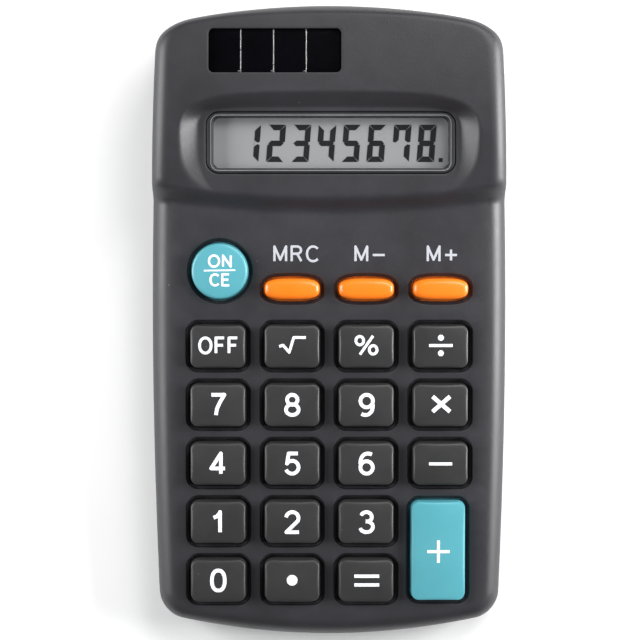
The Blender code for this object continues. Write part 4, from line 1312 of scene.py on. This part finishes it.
class Legend:
    """A printed legend: strokes widened to ribbons, merged, and raised as a thin plate."""

    def __init__(self, place: Callable[[np.ndarray, np.ndarray, float], np.ndarray]) -> None:
        """Keeps the function that carries x, v and a rise onto the printed surface."""
        self.place = place
        self.polygons: list[np.ndarray] = []

    def ribbon(self, path: np.ndarray, half: float) -> None:
        """Adds a stroke: a rectangle along each stretch, and a disc at each turn.

        Args:
            path: rows of x, v.
            half: half of the stroke's width.
        """
        closed = np.linalg.norm(path[0] - path[-1]) < 1e-6
        path = densify(path[np.append(np.linalg.norm(np.diff(path, axis=0), axis=1) > 1e-6, True)], 0.5)
        step = np.diff(path, axis=0)
        step /= np.linalg.norm(step, axis=1)[:, None]
        side = half * np.column_stack([-step[:, 1], step[:, 0]])
        corners = [path[:-1] - side, path[1:] - side, path[1:] + side, path[:-1] + side]
        self.polygons += list(np.stack(corners, axis=1))
        turns = path[1:-1][np.sum(step[1:] * step[:-1], axis=1) < 0.9999]
        for x, v in np.concatenate([turns, path[:1]]) if closed else turns:
            self.disc(x, v, half, 14)

    def disc(self, x: float, v: float, radius: float, count: int = 24) -> None:
        """Adds a round dot."""
        self.polygons.append(arc((x, v), radius, 0.0, TAU, count)[:-1])

    def covered(self, points: np.ndarray) -> np.ndarray:
        """Whether each point lies in a polygon: on the left of all of its sides.

        Args:
            points: rows of x, v.

        Returns:
            One truth value for each point.
        """
        inside = np.zeros(len(points), bool)
        for ring in self.polygons:
            side, away = np.roll(ring, -1, axis=0) - ring, points[:, None] - ring
            inside |= np.all(side[:, 0] * away[..., 1] - side[:, 1] * away[..., 0] >= 0, axis=1)
        return inside

    def write(self, text: Sequence[str], x: float, v: float, height: float, stroke: float,
              space: float = 0.3, stretch: float = 1.0) -> None:
        """Adds signs side by side about a middle point.

        Args:
            text: the signs.
            x: middle across.
            v: middle up.
            height: full height of a capital.
            stroke: width of its strokes.
            space: gap between two signs' centre lines, as a share of the height.
            stretch: how much wider the signs are drawn.
        """
        tall = height - stroke
        drawn = [Glyph.strokes(sign) for sign in text]
        widths = [w * tall * stretch for _, w in drawn]
        start = x - (sum(widths) + space * height * (len(text) - 1)) / 2
        for (lines, _), width in zip(drawn, widths):
            for one in lines:
                self.ribbon(one * [tall * stretch, tall] + [start, v - tall / 2], stroke / 2)
            start += width + space * height

    def skin(self, rise: float, root: float) -> Skin:
        """The union of the polygons, as a plate with a top, an underside and a rim.

        Args:
            rise: height of its top over the surface.
            root: depth of its underside under the surface.

        Returns:
            A closed surface.
        """
        flat = np.concatenate(self.polygons)
        loops = loops_of(self.polygons)
        made, _, faces, _, _, _ = delaunay_2d_cdt([Vector(p) for p in flat], [], loops, 0, 1e-5)
        made, faces = np.array(made), np.array(faces)
        used, kept = np.unique(faces[self.covered(made[faces].mean(axis=1))], return_inverse=True)
        kept = kept.reshape(-1, 3)
        plan = made[used]
        sides = np.concatenate([kept[:, [0, 1]], kept[:, [1, 2]], kept[:, [2, 0]]])
        both = {tuple(e) for e in sides.tolist()}
        rim = np.array([e for e in sides.tolist() if (e[1], e[0]) not in both])
        count = len(plan)
        wall = np.column_stack([rim[:, 1], rim[:, 0], rim[:, 0] + count, rim[:, 1] + count])
        points = np.concatenate([self.place(*plan.T, rise), self.place(*plan.T, -root)])
        return Skin(points, [*kept.tolist(), *(kept[:, ::-1] + count).tolist(), *wall.tolist()])


@dataclass
class CaseLegends:
    """The three legends printed on the case over the memory keys."""

    finishes: Finishes
    keypad: Keypad
    v: float = 11.95
    height: float = 3.1
    stroke: float = 0.43

    def make(self) -> None:
        """One thin raised print for each memory key."""
        for column, key, text, shift in ((1, "mrc", "MRC", 0.75), (2, "memory_minus", "M-", 0.7),
                                         (3, "memory_plus", "M+", 0.35)):
            legend = Legend(lambda x, v, rise: TILT.place(x, v, rise))
            legend.write(text, self.keypad.column(column) + shift, self.v, self.height, self.stroke,
                         0.33, 1.1)
            obj = to_mesh(f"legend_{key}", legend.skin(0.02, 0.05), 60)
            fit_out(obj, self.finishes.case_print, "body", "case_plastic")


# --------------------------------------------------------------------------- keys


# text, place, height, stroke, space and stretch of each written legend on its key
WRITTEN = {
    "off": [("OFF", 0.15, 0.25, 3.25, 0.5, 0.27, 1.0)],
    "on_ce": [("ON", 0.1, 1.85, 2.4, 0.4, 0.3, 1.2), ("CE", 0.1, -1.55, 2.4, 0.4, 0.27, 1.1)],
    "root": [(["root"], 0.1, 0.3, 3.3, 0.5, 0.0, 1.15)],
    "percent": [(["percent"], 0.0, 0.3, 3.7, 0.5, 0.0, 1.0)],
    "multiply": [("x", 0.1, 0.3, 3.5, 0.75, 0.0, 1.15)],
    "equals": [("=", 0.1, 0.15, 2.2, 0.6, 0.0, 1.62)],
    **{digit: [(digit, 0.05, 0.15, 4.35, 0.67, 0.0, 1.14)] for digit in "0123456789"},
}
# both ends and half the width of each bar, and place and radius of each dot
BARS = {
    "on_ce": [((-2.8, 0.12), (2.9, 0.2), 0.14)],
    "divide": [((-2.15, 0.25), (2.15, 0.25), 0.27)],
    "minus": [((-2.1, 0.1), (2.1, 0.1), 0.28)],
    "plus": [((-2.05, 0.0), (2.05, 0.0), 0.27), ((0.0, -2.05), (0.0, 2.05), 0.27)],
}
DOTS = {"divide": [(0.0, 1.65, 0.54), (0.0, -1.15, 0.54)], "point": [(0.0, 0.2, 0.98)]}


@dataclass
class Key:
    """One keycap with a hidden flange, drafted sides, a round upper edge and its legend."""

    finishes: Finishes
    opening: Opening
    flange: tuple[float, float] = (-2.7, -1.9)
    top: float = 1.9
    edge: float = 0.5
    crown: float = 0.28

    def level(self, x: np.ndarray, v: np.ndarray) -> np.ndarray:
        """Height of the cap's top: highest in the middle, less by the square of the distance.

        Args:
            x: distances across.
            v: distances along the plane.

        Returns:
            Levels over the keypad's plane.
        """
        reach = {Kind.STANDARD: (5, 4), Kind.SMALL: (5, 2), Kind.TALL: (5, 9), Kind.ROUND: (5.2, 5.2)}
        a, b = reach[self.opening.kind]
        fall = ((x - self.opening.x) / a) ** 2 + ((v - self.opening.v) / b) ** 2
        return self.top - self.crown * np.minimum(fall, 2.0)

    def cap(self) -> Skin:
        """Rings from the flange's underside up the sides and over the crown, closed at both ends."""
        small = self.opening.kind is Kind.SMALL
        side, taper = (-0.76, 0.2) if not small else (-0.8, 0.12)
        edge = self.edge if not small else 0.9
        rise = self.top - edge
        profile = [(-0.35, self.flange[0]), (-0.15, self.flange[0] + 0.15), (-0.15, self.flange[1] - 0.1),
                   (-0.25, self.flange[1]), (side, self.flange[1]), (side, -0.3), (side - taper, rise)]
        a = np.linspace(0, TAU / 4, 7)[1:]
        profile += [(side - taper - edge * (1 - math.cos(t)), rise + edge * math.sin(t)) for t in a]
        rings, last = [], None
        for grow, level in profile:
            last = self.opening.ring(grow)
            fall = self.level(*last.T) - self.top if level > rise else 0.0
            share = (level - rise) / edge
            rings.append(TILT.place(*last.T, level + fall * max(share, 0.0)))
        middle = np.array([self.opening.x, self.opening.v])
        for share in (0.9, 0.75, 0.55, 0.35, 0.15):
            ring = middle + (last - middle) * share
            rings.append(TILT.place(*ring.T, self.level(*ring.T)))
        skin = loft(np.array(rings), (True, False))
        centre = TILT.place(*[np.array([c]) for c in middle], np.array([self.top]))
        count = len(last)
        rim = np.arange(count) + (len(rings) - 1) * count
        fan = np.column_stack([np.full(count, len(skin.points)), rim, np.roll(rim, -1)]).tolist()
        return Skin(np.concatenate([skin.points, centre]), skin.faces + fan)

    def legend(self) -> Legend | None:
        """The cap's own legend, or none on the memory keys.

        Returns:
            The legend.
        """
        key, x, v = self.opening.key, self.opening.x, self.opening.v
        made = Legend(lambda a, b, rise: TILT.place(a, b, self.level(a, b) + rise))
        for text, across, up, *style in WRITTEN.get(key, ()):
            made.write(text, x + across, v + up, *style)
        for start, end, half in BARS.get(key, ()):
            made.ribbon(np.array([start, end]) + [x, v], half)
        for across, up, radius in DOTS.get(key, ()):
            made.disc(x + across, v + up, radius)
        return made if made.polygons else None

    def make(self) -> None:
        """The cap and its legend, both on the key's own body."""
        key = self.opening.key
        finish, slot = {
            Kind.SMALL: (self.finishes.orange, "orange_key"),
            Kind.STANDARD: (self.finishes.black, "black_key"),
        }.get(self.opening.kind, (self.finishes.teal, "teal_key"))
        cap = to_mesh(f"cap_{key}", self.cap(), 35)
        fit_out(cap, finish, f"{key}_key", slot, [f"key_{key}"])
        legend = self.legend()
        if legend:
            obj = to_mesh(f"print_{key}", legend.skin(0.03, 0.06), 60)
            fit_out(obj, self.finishes.print, f"{key}_key", slot)


# --------------------------------------------------------------------------- display


@dataclass
class Display:
    """Lens with its printed border, the liquid-crystal cell and its eight digits."""

    finishes: Finishes
    x: float = DISPLAY_CENTRE[0]
    v: float = DISPLAY_CENTRE[1]
    lens: tuple[float, float, float] = (44.9, 10.9, 2.25)
    window: tuple[float, float, float] = (*DISPLAY_WINDOW, 1.0)
    crystal: tuple[float, float, float] = (46.0, 14.4, 0.6)
    crystal_levels: tuple[float, float] = (-2.1, -0.3)
    digit: tuple[float, float] = (3.15, 6.75)
    pitch: float = 4.555
    first: float = -14.5
    segment: float = 1.0
    slant: float = 0.075
    gap: float = 0.11
    point: float = 0.72

    def frame_rings(self, profile: Sequence[tuple[tuple[float, float, float], float, float]],
                    steps: tuple[int, int] = (8, 30), shift: float = 0.0) -> np.ndarray:
        """Rounded rectangles at the profile's sizes and levels, on the tilted plane.

        Args:
            profile: rectangle, grow and level of each ring.
            steps: stretches in each corner and each side.
            shift: how far the rings' middle is moved along the plane.

        Returns:
            Array of ring, point, xyz.
        """
        middle = [self.x, self.v + shift]
        return np.array([TILT.ring(rounded_rectangle(*size, grow, *steps) + middle, level)
                         for size, grow, level in profile])

    def bar(self, kind: str, x: float, v: float) -> np.ndarray:
        """One segment as a six-sided bar with pointed ends, leaning with the digit.

        Args:
            kind: its letter, a to g.
            x: the digit's middle.
            v: the digit's middle.

        Returns:
            Rows of x, v.
        """
        w, h, t, gap = self.digit[0] / 2, self.digit[1] / 2, self.segment, self.gap
        low, high = {"a": (h - t, h), "d": (-h, t - h), "g": (-t / 2, t / 2)}.get(kind, (0.0, 0.0))
        if kind in "ad":
            reach, cut = w - gap, t
            inner = reach - cut + 0.1
            edge = (high, low) if kind == "a" else (low, high)
            shape = [(-reach, edge[0]), (-inner, edge[1]), (inner, edge[1]), (reach, edge[0])]
        elif kind == "g":
            reach = w - gap - 0.08
            shape = [(-reach, 0), (-reach + t / 2, low), (reach - t / 2, low), (reach, 0),
                     (reach - t / 2, high), (-reach + t / 2, high)]
        else:
            side = 1 if kind in "bc" else -1
            up = 1 if kind in "bf" else -1
            far, near = up * (h - gap), up * gap
            shape = [(side * w, far), (side * (w - t), far - up * (t - 0.05)),
                     (side * (w - t), near + up * t / 2), (side * (w - t * 0.45), near + up * 0.04),
                     (side * w, near + up * 0.2)]
        ring = np.array(shape, float)
        area = np.sum(ring[:, 0] * np.roll(ring[:, 1], -1) - ring[:, 1] * np.roll(ring[:, 0], -1))
        ring = ring[::-1] if area < 0 else ring
        ring[:, 0] += ring[:, 1] * self.slant
        return ring + [x, v]

    def digits(self) -> Legend:
        """The digits 1 to 8 and a point, each lit in its seven-segment pattern.

        Returns:
            The lit segments.
        """
        lit = ("bc", "abged", "abgcd", "fgbc", "afgcd", "afgecd", "fabc", "abcdefg")
        made = Legend(lambda a, b, rise: TILT.place(a, b, self.crystal_levels[1] + rise))
        for index, letters in enumerate(lit):
            middle = self.x + self.first + index * self.pitch
            made.polygons += [self.bar(letter, middle, self.v) for letter in letters]
        dot = self.x + self.first + 7 * self.pitch + self.digit[0] / 2 + 0.62
        low = self.v - self.digit[1] / 2
        made.polygons.append(np.array([(0, 0), (1, 0), (1, 1), (0, 1)]) * self.point + [dot, low])
        return made

    def make(self) -> None:
        """Border ring, clear pane, a light ring painted as the window edge's highlight, crystal and segments.
        """
        outer, inner = self.lens, self.window
        border = self.frame_rings([
            (outer, 0.0, 1.3), (outer, 0.0, 1.88), (outer, -0.06, 1.97), (outer, -0.15, 2.0),
            (inner, 0.15, 2.0), (inner, 0.04, 1.95), (inner, 0.0, 1.85), (inner, 0.0, 1.3)])
        obj = to_mesh("lens_border", loft(border, around=True), 40)
        fit_out(obj, self.finishes.border, "body", "lens_plastic", ["display_window"])
        pane = self.frame_rings([(inner, -0.02, 1.35), (inner, -0.02, 1.72)])
        obj = to_mesh("lens_pane", loft(pane, (True, True)), 30)
        fit_out(obj, self.finishes.lens, "body", "lens_plastic")
        # A thin light grey ring on the border round the window: a painted highlight of the window's lit edge.
        line = self.frame_rings([
            (inner, 0.42, 1.98), (inner, 0.42, 2.02), (inner, 0.33, 2.02), (inner, 0.33, 1.98)])
        obj = to_mesh("lens_painted_rim_highlight", loft(line, around=True), 30)
        fit_out(obj, self.finishes.painted_rim_highlight, "body", "lens_plastic")
        low, high = self.crystal_levels
        profile = ((-0.1, low), (0.0, low + 0.1), (0.0, high - 0.1), (-0.1, high))
        cell = self.frame_rings([(self.crystal, *step) for step in profile], (4, 4), -1.0)
        obj = to_mesh("crystal_cell", loft(cell, (True, True)), 30)
        fit_out(obj, self.finishes.crystal, "body", "lcd_glass", ["lcd_glass"])
        obj = to_mesh("crystal_digits", self.digits().skin(0.05, -0.01), 30)
        fit_out(obj, self.finishes.ink, "body", "lcd_glass")


@dataclass
class SolarStrip:
    """Four black photocells under a window, with silver dividers and their solder feet."""

    finishes: Finishes
    shape: FrontShape = FrontShape()
    size: tuple[float, float, float] = (25.4, 9.5, 1.1)
    dividers: tuple[float, ...] = (0.242, 0.49, 0.736)

    def make(self) -> None:
        """The cells as one soft-edged plate, and the print on it."""
        x, y = SOLAR_CENTRE
        top = float(self.shape.head_top(np.array(y))) - 1.0
        width, depth, thick = self.size
        plate = soft_block((x - width / 2, y - depth / 2, top - thick),
                           (x + width / 2, y + depth / 2, top), 0.4, 0.1)
        fit_out(to_mesh("photocells", plate, 30), self.finishes.photocell, "body", "solar_glass",
                ["solar_cell"])
        left = x - SOLAR_WINDOW[0] / 2
        low, high = y - SOLAR_WINDOW[1] / 2, y + SOLAR_WINDOW[1] / 2
        under, over = top - 0.05, top + 0.03
        bars = []
        for share in self.dividers:
            at = left + share * SOLAR_WINDOW[0]
            bars.append(soft_block((at - 0.07, low - 0.2, under), (at + 0.07, high + 0.2, over), 0.03, 0.01))
            bars.append(soft_block((at - 0.5, low + 0.28, under), (at + 0.05, low + 0.42, over), 0.03, 0.01))
        fit_out(to_mesh("photocell_dividers", Skin.joined(bars), 30), self.finishes.silver, "body",
                "solar_glass")


# --------------------------------------------------------------------------- back of the case


@dataclass
class RearShell:
    """Lower half of the case: rounded back, screw wells, the battery bay and its walls."""

    finishes: Finishes
    floor: float = 1.8
    wall: float = 1.6
    edge: float = 2.2
    lip: float = 7.0
    steps: tuple[int, int, int] = (16, 18, 18)
    cover: tuple[float, float, float] = (24.5, 42.6, 1.75)
    tongue: tuple[float, float, float, float] = (25.4, 1.0, 1.7, 52.0)

    def outer_rings(self, top: float) -> list[np.ndarray]:
        """Rings of the outside, from the flat back round its edge and up to a height."""
        profile = [*zip(*quarter_round(self.edge, 7)), (0.0, top)]
        return [level_ring(PLAN.outline(inset, self.steps), z) for inset, z in profile]

    def turned(self, profile: Sequence[tuple[float, float]]) -> list[Skin]:
        """A profile of (height, radius) turned at each screw's place.

        Args:
            profile: from the bottom's middle to the top's middle.

        Returns:
            One closed surface for each screw.
        """
        made = []
        for x, y in screw_places(CASE_SCREW_Y):
            skin = lathe(profile, 40)
            made.append(Skin(skin.points + [x, y, 0.0], skin.faces))
        return made

    def shell(self) -> bpy.types.Object:
        """The lower shell in one piece.

        Returns:
            The object, with the cover's mouth and grooves cut out.
        """
        seam = PLAN.parting - PLAN.gap / 2
        rings = self.outer_rings(seam - 0.12)
        for inset, z in ((0.1, seam), (0.9, seam), (0.9, self.lip - 0.1), (1.0, self.lip),
                         (1.5, self.lip), (self.wall, self.lip - 0.1), (self.wall, self.floor + 0.4),
                         (self.wall + 0.4, self.floor)):
            rings.append(level_ring(PLAN.outline(inset, self.steps), z))
        obj = to_mesh("rear_shell", stacked(rings))
        boss = self.turned([(0.9, 1.0), (0.9, 2.7), (4.6, 2.7), (4.7, 2.6), (4.7, 0.7)])
        sink = self.turned([(-5, 1.1), (-5, 2.2), (1.9, 2.2), (1.9, 1.2), (9, 1.2), (9, 0.5)])
        carve(obj, [Skin.joined(boss)], "UNION")
        carve(obj, [Skin.joined(sink)])
        half, start, thick = self.cover
        mouth = soft_block((-half - 0.3, start - 0.3, -5), (half + 0.3, 80, thick + 0.3), 0.6, 0.01)
        groove = soft_block((-25.7, start - 0.27, 0.7), (25.7, 79, thick + 0.26), 0.2, 0.01)
        return carve(obj, [mouth, groove])

    def bay(self) -> Skin:
        """Walls, ribs and rails of the battery bay, with soft edges."""
        blocks = [soft_block((-29.9, 40.9, 0.9), (29.9, 42.0, 12.0), 0.3, 0.2)]
        for side in (1, -1):
            blocks.append(side_block(side, (25.2, 26.6), (41.2, 52.6), (0.9, 11.7), 0.25, 0.15))
            blocks.append(side_block(side, (24.2, 25.5), (41.2, 52.3), (2.1, 3.1), 0.25, 0.15))
        return Skin.joined(blocks)

    def door(self) -> bpy.types.Object:
        """The battery cover: its part of the back with grip grooves and two tongues.

        Returns:
            The object.
        """
        half, start, thick = self.cover
        rings = self.outer_rings(4.0)
        obj = to_mesh("cover_door", stacked(rings))
        carve(obj, [soft_block((-half, start, -5), (half, 80, thick), 0.4, 0.05)], "INTERSECT")
        grips = []
        for k in range(7):
            reach, near, far = 6.5 - k * 0.35, 46.0 + k * 1.15, 46.55 + k * 1.15
            grips.append(soft_block((-reach, near, -3), (reach, far, 0.32), 0.25, 0.08))
        carve(obj, grips)
        return obj

    def make(self) -> None:
        """Shell and bay on the case's body, cover and tongues on the cover's body."""
        fit_out(self.shell(), self.finishes.back, "body", "back_plastic", ["rear_case"])
        fit_out(to_mesh("bay_walls", self.bay()), self.finishes.back, "body", "back_plastic")
        fit_out(self.door(), self.finishes.back, "battery_cover", "back_plastic", ["battery_cover"])
        half, low, high, end = self.tongue
        tongues = [side_block(side, (24.0, half), (42.9, end), (low, high), 0.2, 0.1) for side in (1, -1)]
        fit_out(to_mesh("cover_tongues", Skin.joined(tongues)), self.finishes.back, "battery_cover",
                "back_plastic")


@dataclass
class Screw:
    """A self-tapping screw, head down: a crowned head with a cross recess and a cut thread."""

    finishes: Finishes
    name: str
    x: float
    y: float
    z: float
    tilted: bool
    sizes: tuple[float, float, float, float]
    lead: float = 0.75

    def make(self) -> None:
        """A grid of angle and profile: the recess sinks where the angle's cross is wide."""
        shank, head, tall, length = self.sizes
        a = turn(96)
        r = np.linspace(0.02, 0.82, 22) * head
        radius, angle = np.meshgrid(r, a, indexing="ij")
        u, w = np.abs(radius * np.cos(angle)), np.abs(radius * np.sin(angle))
        arm = np.minimum(np.maximum(u, w) / (0.6 * head), 1.0)
        half = 0.16 * head
        inside = np.clip((half - np.minimum(u, w)) / (0.05 * head), 0, 1) * np.clip((1 - arm) / 0.12, 0, 1)
        crown = 0.14 * tall * (radius / head) ** 2
        face = polar(radius, angle, crown + 0.5 * tall * inside)
        side = [(0.93, 0.2), (0.99, 0.36), (1.0, 0.6), (0.97, 0.95), (0.9, 1.0)]
        rows = [polar(head * k, a, tall * z) for k, z in side]
        steps = np.linspace(0.0, 1.0, 46)
        thread = (steps[:, None] * length / self.lead - a / TAU) % 1.0
        core = shank * (0.74 + 0.26 * np.clip(1 - np.abs(thread - 0.5) * 3.2, 0, 1))
        core *= np.where(steps > 0.88, 1 - (steps - 0.88) * 3.5, 1.0)[:, None]
        body = polar(core, a, (tall + steps * length)[:, None])
        skin = loft(np.concatenate([face, np.array(rows), body]), (True, True))
        skin.points = skin.points + [self.x, self.y, self.z]
        if self.tilted:
            skin.points = TILT.place(*skin.points.T)
        fit_out(to_mesh(f"{self.name}_body", skin, 35), self.finishes.steel, "body", "screw_steel",
                [self.name])


@dataclass
class Battery:
    """The cell across the head, its coil spring and the two contact plates."""

    finishes: Finishes
    radius: float = 5.25
    length: float = 44.5
    tip_x: float = 24.1
    y: float = 48.0
    z: float = 7.35
    plate_z: float = 7.25

    def make(self) -> None:
        """The cell turned about X, the spring as a coiled wire, the plates as soft blocks."""
        end, r = self.length, self.radius
        profile = [(0.15, 3.4), (0.0, 3.9), (0.0, r - 0.6), (0.1, r - 0.25), (0.35, r - 0.02), (0.6, r),
                   (end - 1.5, r), (end - 1.25, r - 0.03), (end - 1.0, r - 0.3), (end - 1.05, r - 0.8),
                   (end - 0.85, 2.4), (end - 0.8, 1.95), (end - 0.1, 1.9), (end, 1.75), (end, 0.6)]
        skin = lathe(profile, 72)
        skin.points = skin.points[:, [2, 0, 1]] + [self.tip_x - end, self.y, self.z]
        fit_out(to_mesh("cell_body", skin, 30), self.finishes.sleeve, "body", "cell_sleeve", ["battery_cell"])
        share = np.linspace(0, 1, 181)
        angle, reach = TAU * 3 * share, 3.7 - share
        start, stop = -self.tip_x + 0.33, self.tip_x - end - 0.63
        path = np.column_stack([start + (stop - start) * share, self.y + reach * np.cos(angle),
                                self.z + reach * np.sin(angle)])
        fit_out(to_mesh("coil_body", tube(path, 0.33)), self.finishes.spring, "body", "spring_steel",
                ["battery_spring"])
        for node, side in (("battery_contact_plus", 1), ("battery_contact_minus", -1)):
            block = soft_block((-4.0, -3.75, 0.0), (4.0, 3.75, 0.4), 0.8, 0.08)
            across, up, out = block.points.T
            block.points = np.column_stack([side * (self.tip_x + 0.3 + out), self.y + across,
                                            self.plate_z + up])
            fit_out(to_mesh(f"{node}_plate", block), self.finishes.contact, "body", "contact_steel", [node])


class Insides:
    """The nodes that keep their own meshes, dressed with their finishes."""

    def __init__(self, finishes: Finishes) -> None:
        """Keeps the finish of each node."""
        self.looks = {
            "lcd_reflector": finishes.foil, "lcd_connector": finishes.rubber,
            "circuit_board": finishes.laminate, "chip_cover": finishes.resin,
            "capacitor": finishes.can, "key_mat": finishes.silicone,
            "battery_wire_plus": finishes.red, "battery_wire_minus": finishes.dark,
            "solar_wire_plus": finishes.red, "solar_wire_minus": finishes.dark,
        }

    def make(self) -> None:
        """Puts each finish into its node's material slot."""
        for name, finish in self.looks.items():
            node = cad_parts[name]
            node.data.materials.clear()
            node.data.materials.append(finish)
            LOG.info("%s: dressed as %s", name, finish.name)


# --------------------------------------------------------------------------- stage


@dataclass(frozen=True)
class Light:
    """A square soft light that faces the calculator; its power is in watts."""

    name: str
    place: tuple[float, float, float]
    size: float
    power: float
    colour: Colour = (1.0, 1.0, 1.0)

    def make(self) -> None:
        """Puts the light at its place and turns it towards the calculator."""
        data = bpy.data.lights.new(self.name, "AREA")
        data.size, data.energy, data.color = self.size * MM, self.power, self.colour
        obj = bpy.data.objects.new(self.name, data)
        obj.location = Vector(self.place) * MM
        obj.rotation_euler = (Vector((0, 0, 0.01)) - obj.location).to_track_quat("-Z", "Y").to_euler()
        bpy.context.scene.collection.objects.link(obj)


@dataclass
class Stage:
    """Pale floor, soft lights and the camera straight above the calculator."""

    camera: tuple[float, float, float] = (-1.67, -0.1, 350.0)
    lens: float = 104.5
    half: float = 4000.0
    cells: int = 8
    sky: float = 0.17
    sky_seen: float = 0.6
    lights: tuple[Light, ...] = (
        Light("key_light", (150, 250, 300), 210, 0.9, (1.0, 0.99, 0.97)),
        Light("left_light", (-350, 50, 170), 260, 2.1),
        Light("right_light", (370, 40, 130), 230, 3.3),
    )

    def floor(self) -> None:
        """A wide pale floor with a faint paper grain."""
        count = self.cells + 1
        x, y = np.meshgrid(*[np.linspace(-self.half, self.half, count)] * 2, indexing="ij")
        points = np.column_stack([x.ravel(), y.ravel(), np.full(count**2, -0.02)])
        k, i = np.meshgrid(np.arange(self.cells), np.arange(self.cells), indexing="ij")
        a = (k * count + i).ravel()
        obj = to_mesh("floor", Skin(points, np.stack([a, a + count, a + count + 1, a + 1], axis=1).tolist()))
        if obj.data.polygons[0].normal.z < 0:
            obj.data.flip_normals()
        obj.data.materials.append(Moulded("pale_floor", (0.9, 0.9, 0.9), (0.92, 0.92, 0.92), 0.8, 900.0, 0.0,
                                          specular=0.1).make())

    def make(self) -> None:
        """Camera, world, floor and lights."""
        scene = bpy.context.scene
        data = bpy.data.cameras.new("camera")
        data.lens, data.clip_start = self.lens, 0.005
        camera = bpy.data.objects.new("camera", data)
        camera.location = Vector(self.camera) * MM
        scene.collection.objects.link(camera)
        scene.camera = camera
        scene.view_settings.view_transform = "Standard"
        world = bpy.data.worlds.new("studio")
        world.use_nodes = True
        tree = Tree(world.node_tree)
        sky = world.node_tree.nodes["Background"]
        sky.inputs["Color"].default_value = (0.95, 0.97, 1.0, 1.0)
        seen = tree.math("MULTIPLY", tree.add("ShaderNodeLightPath").outputs["Is Camera Ray"], self.sky_seen)
        tree.tree.links.new(tree.math("ADD", seen, self.sky), sky.inputs["Strength"])
        scene.world = world
        self.floor()
        for light in self.lights:
            light.make()


def main() -> None:
    """Builds the calculator, piece by piece."""
    logging.basicConfig(level=logging.INFO, format="%(message)s")
    Stage().make()
    finishes = Finishes()
    keypad = Keypad()
    FrontShell(finishes, keypad).make()
    CaseLegends(finishes, keypad).make()
    for opening in keypad.openings():
        Key(finishes, opening).make()
    Display(finishes).make()
    SolarStrip(finishes).make()
    RearShell(finishes).make()
    for kind, along, *rest in (("case", CASE_SCREW_Y, 0.6, False, (0.9, 1.9, 1.0, 6.0)),
                               ("board", BOARD_SCREW_Y, -8.0, True, (0.7, 1.5, 1.0, 3.8))):
        for index, (x, y) in enumerate(screw_places(along), start=1):
            Screw(finishes, f"{kind}_screw_{index}", x, y, *rest).make()
    Battery(finishes).make()
    Insides(finishes).make()


if __name__ == "__main__":
    main()
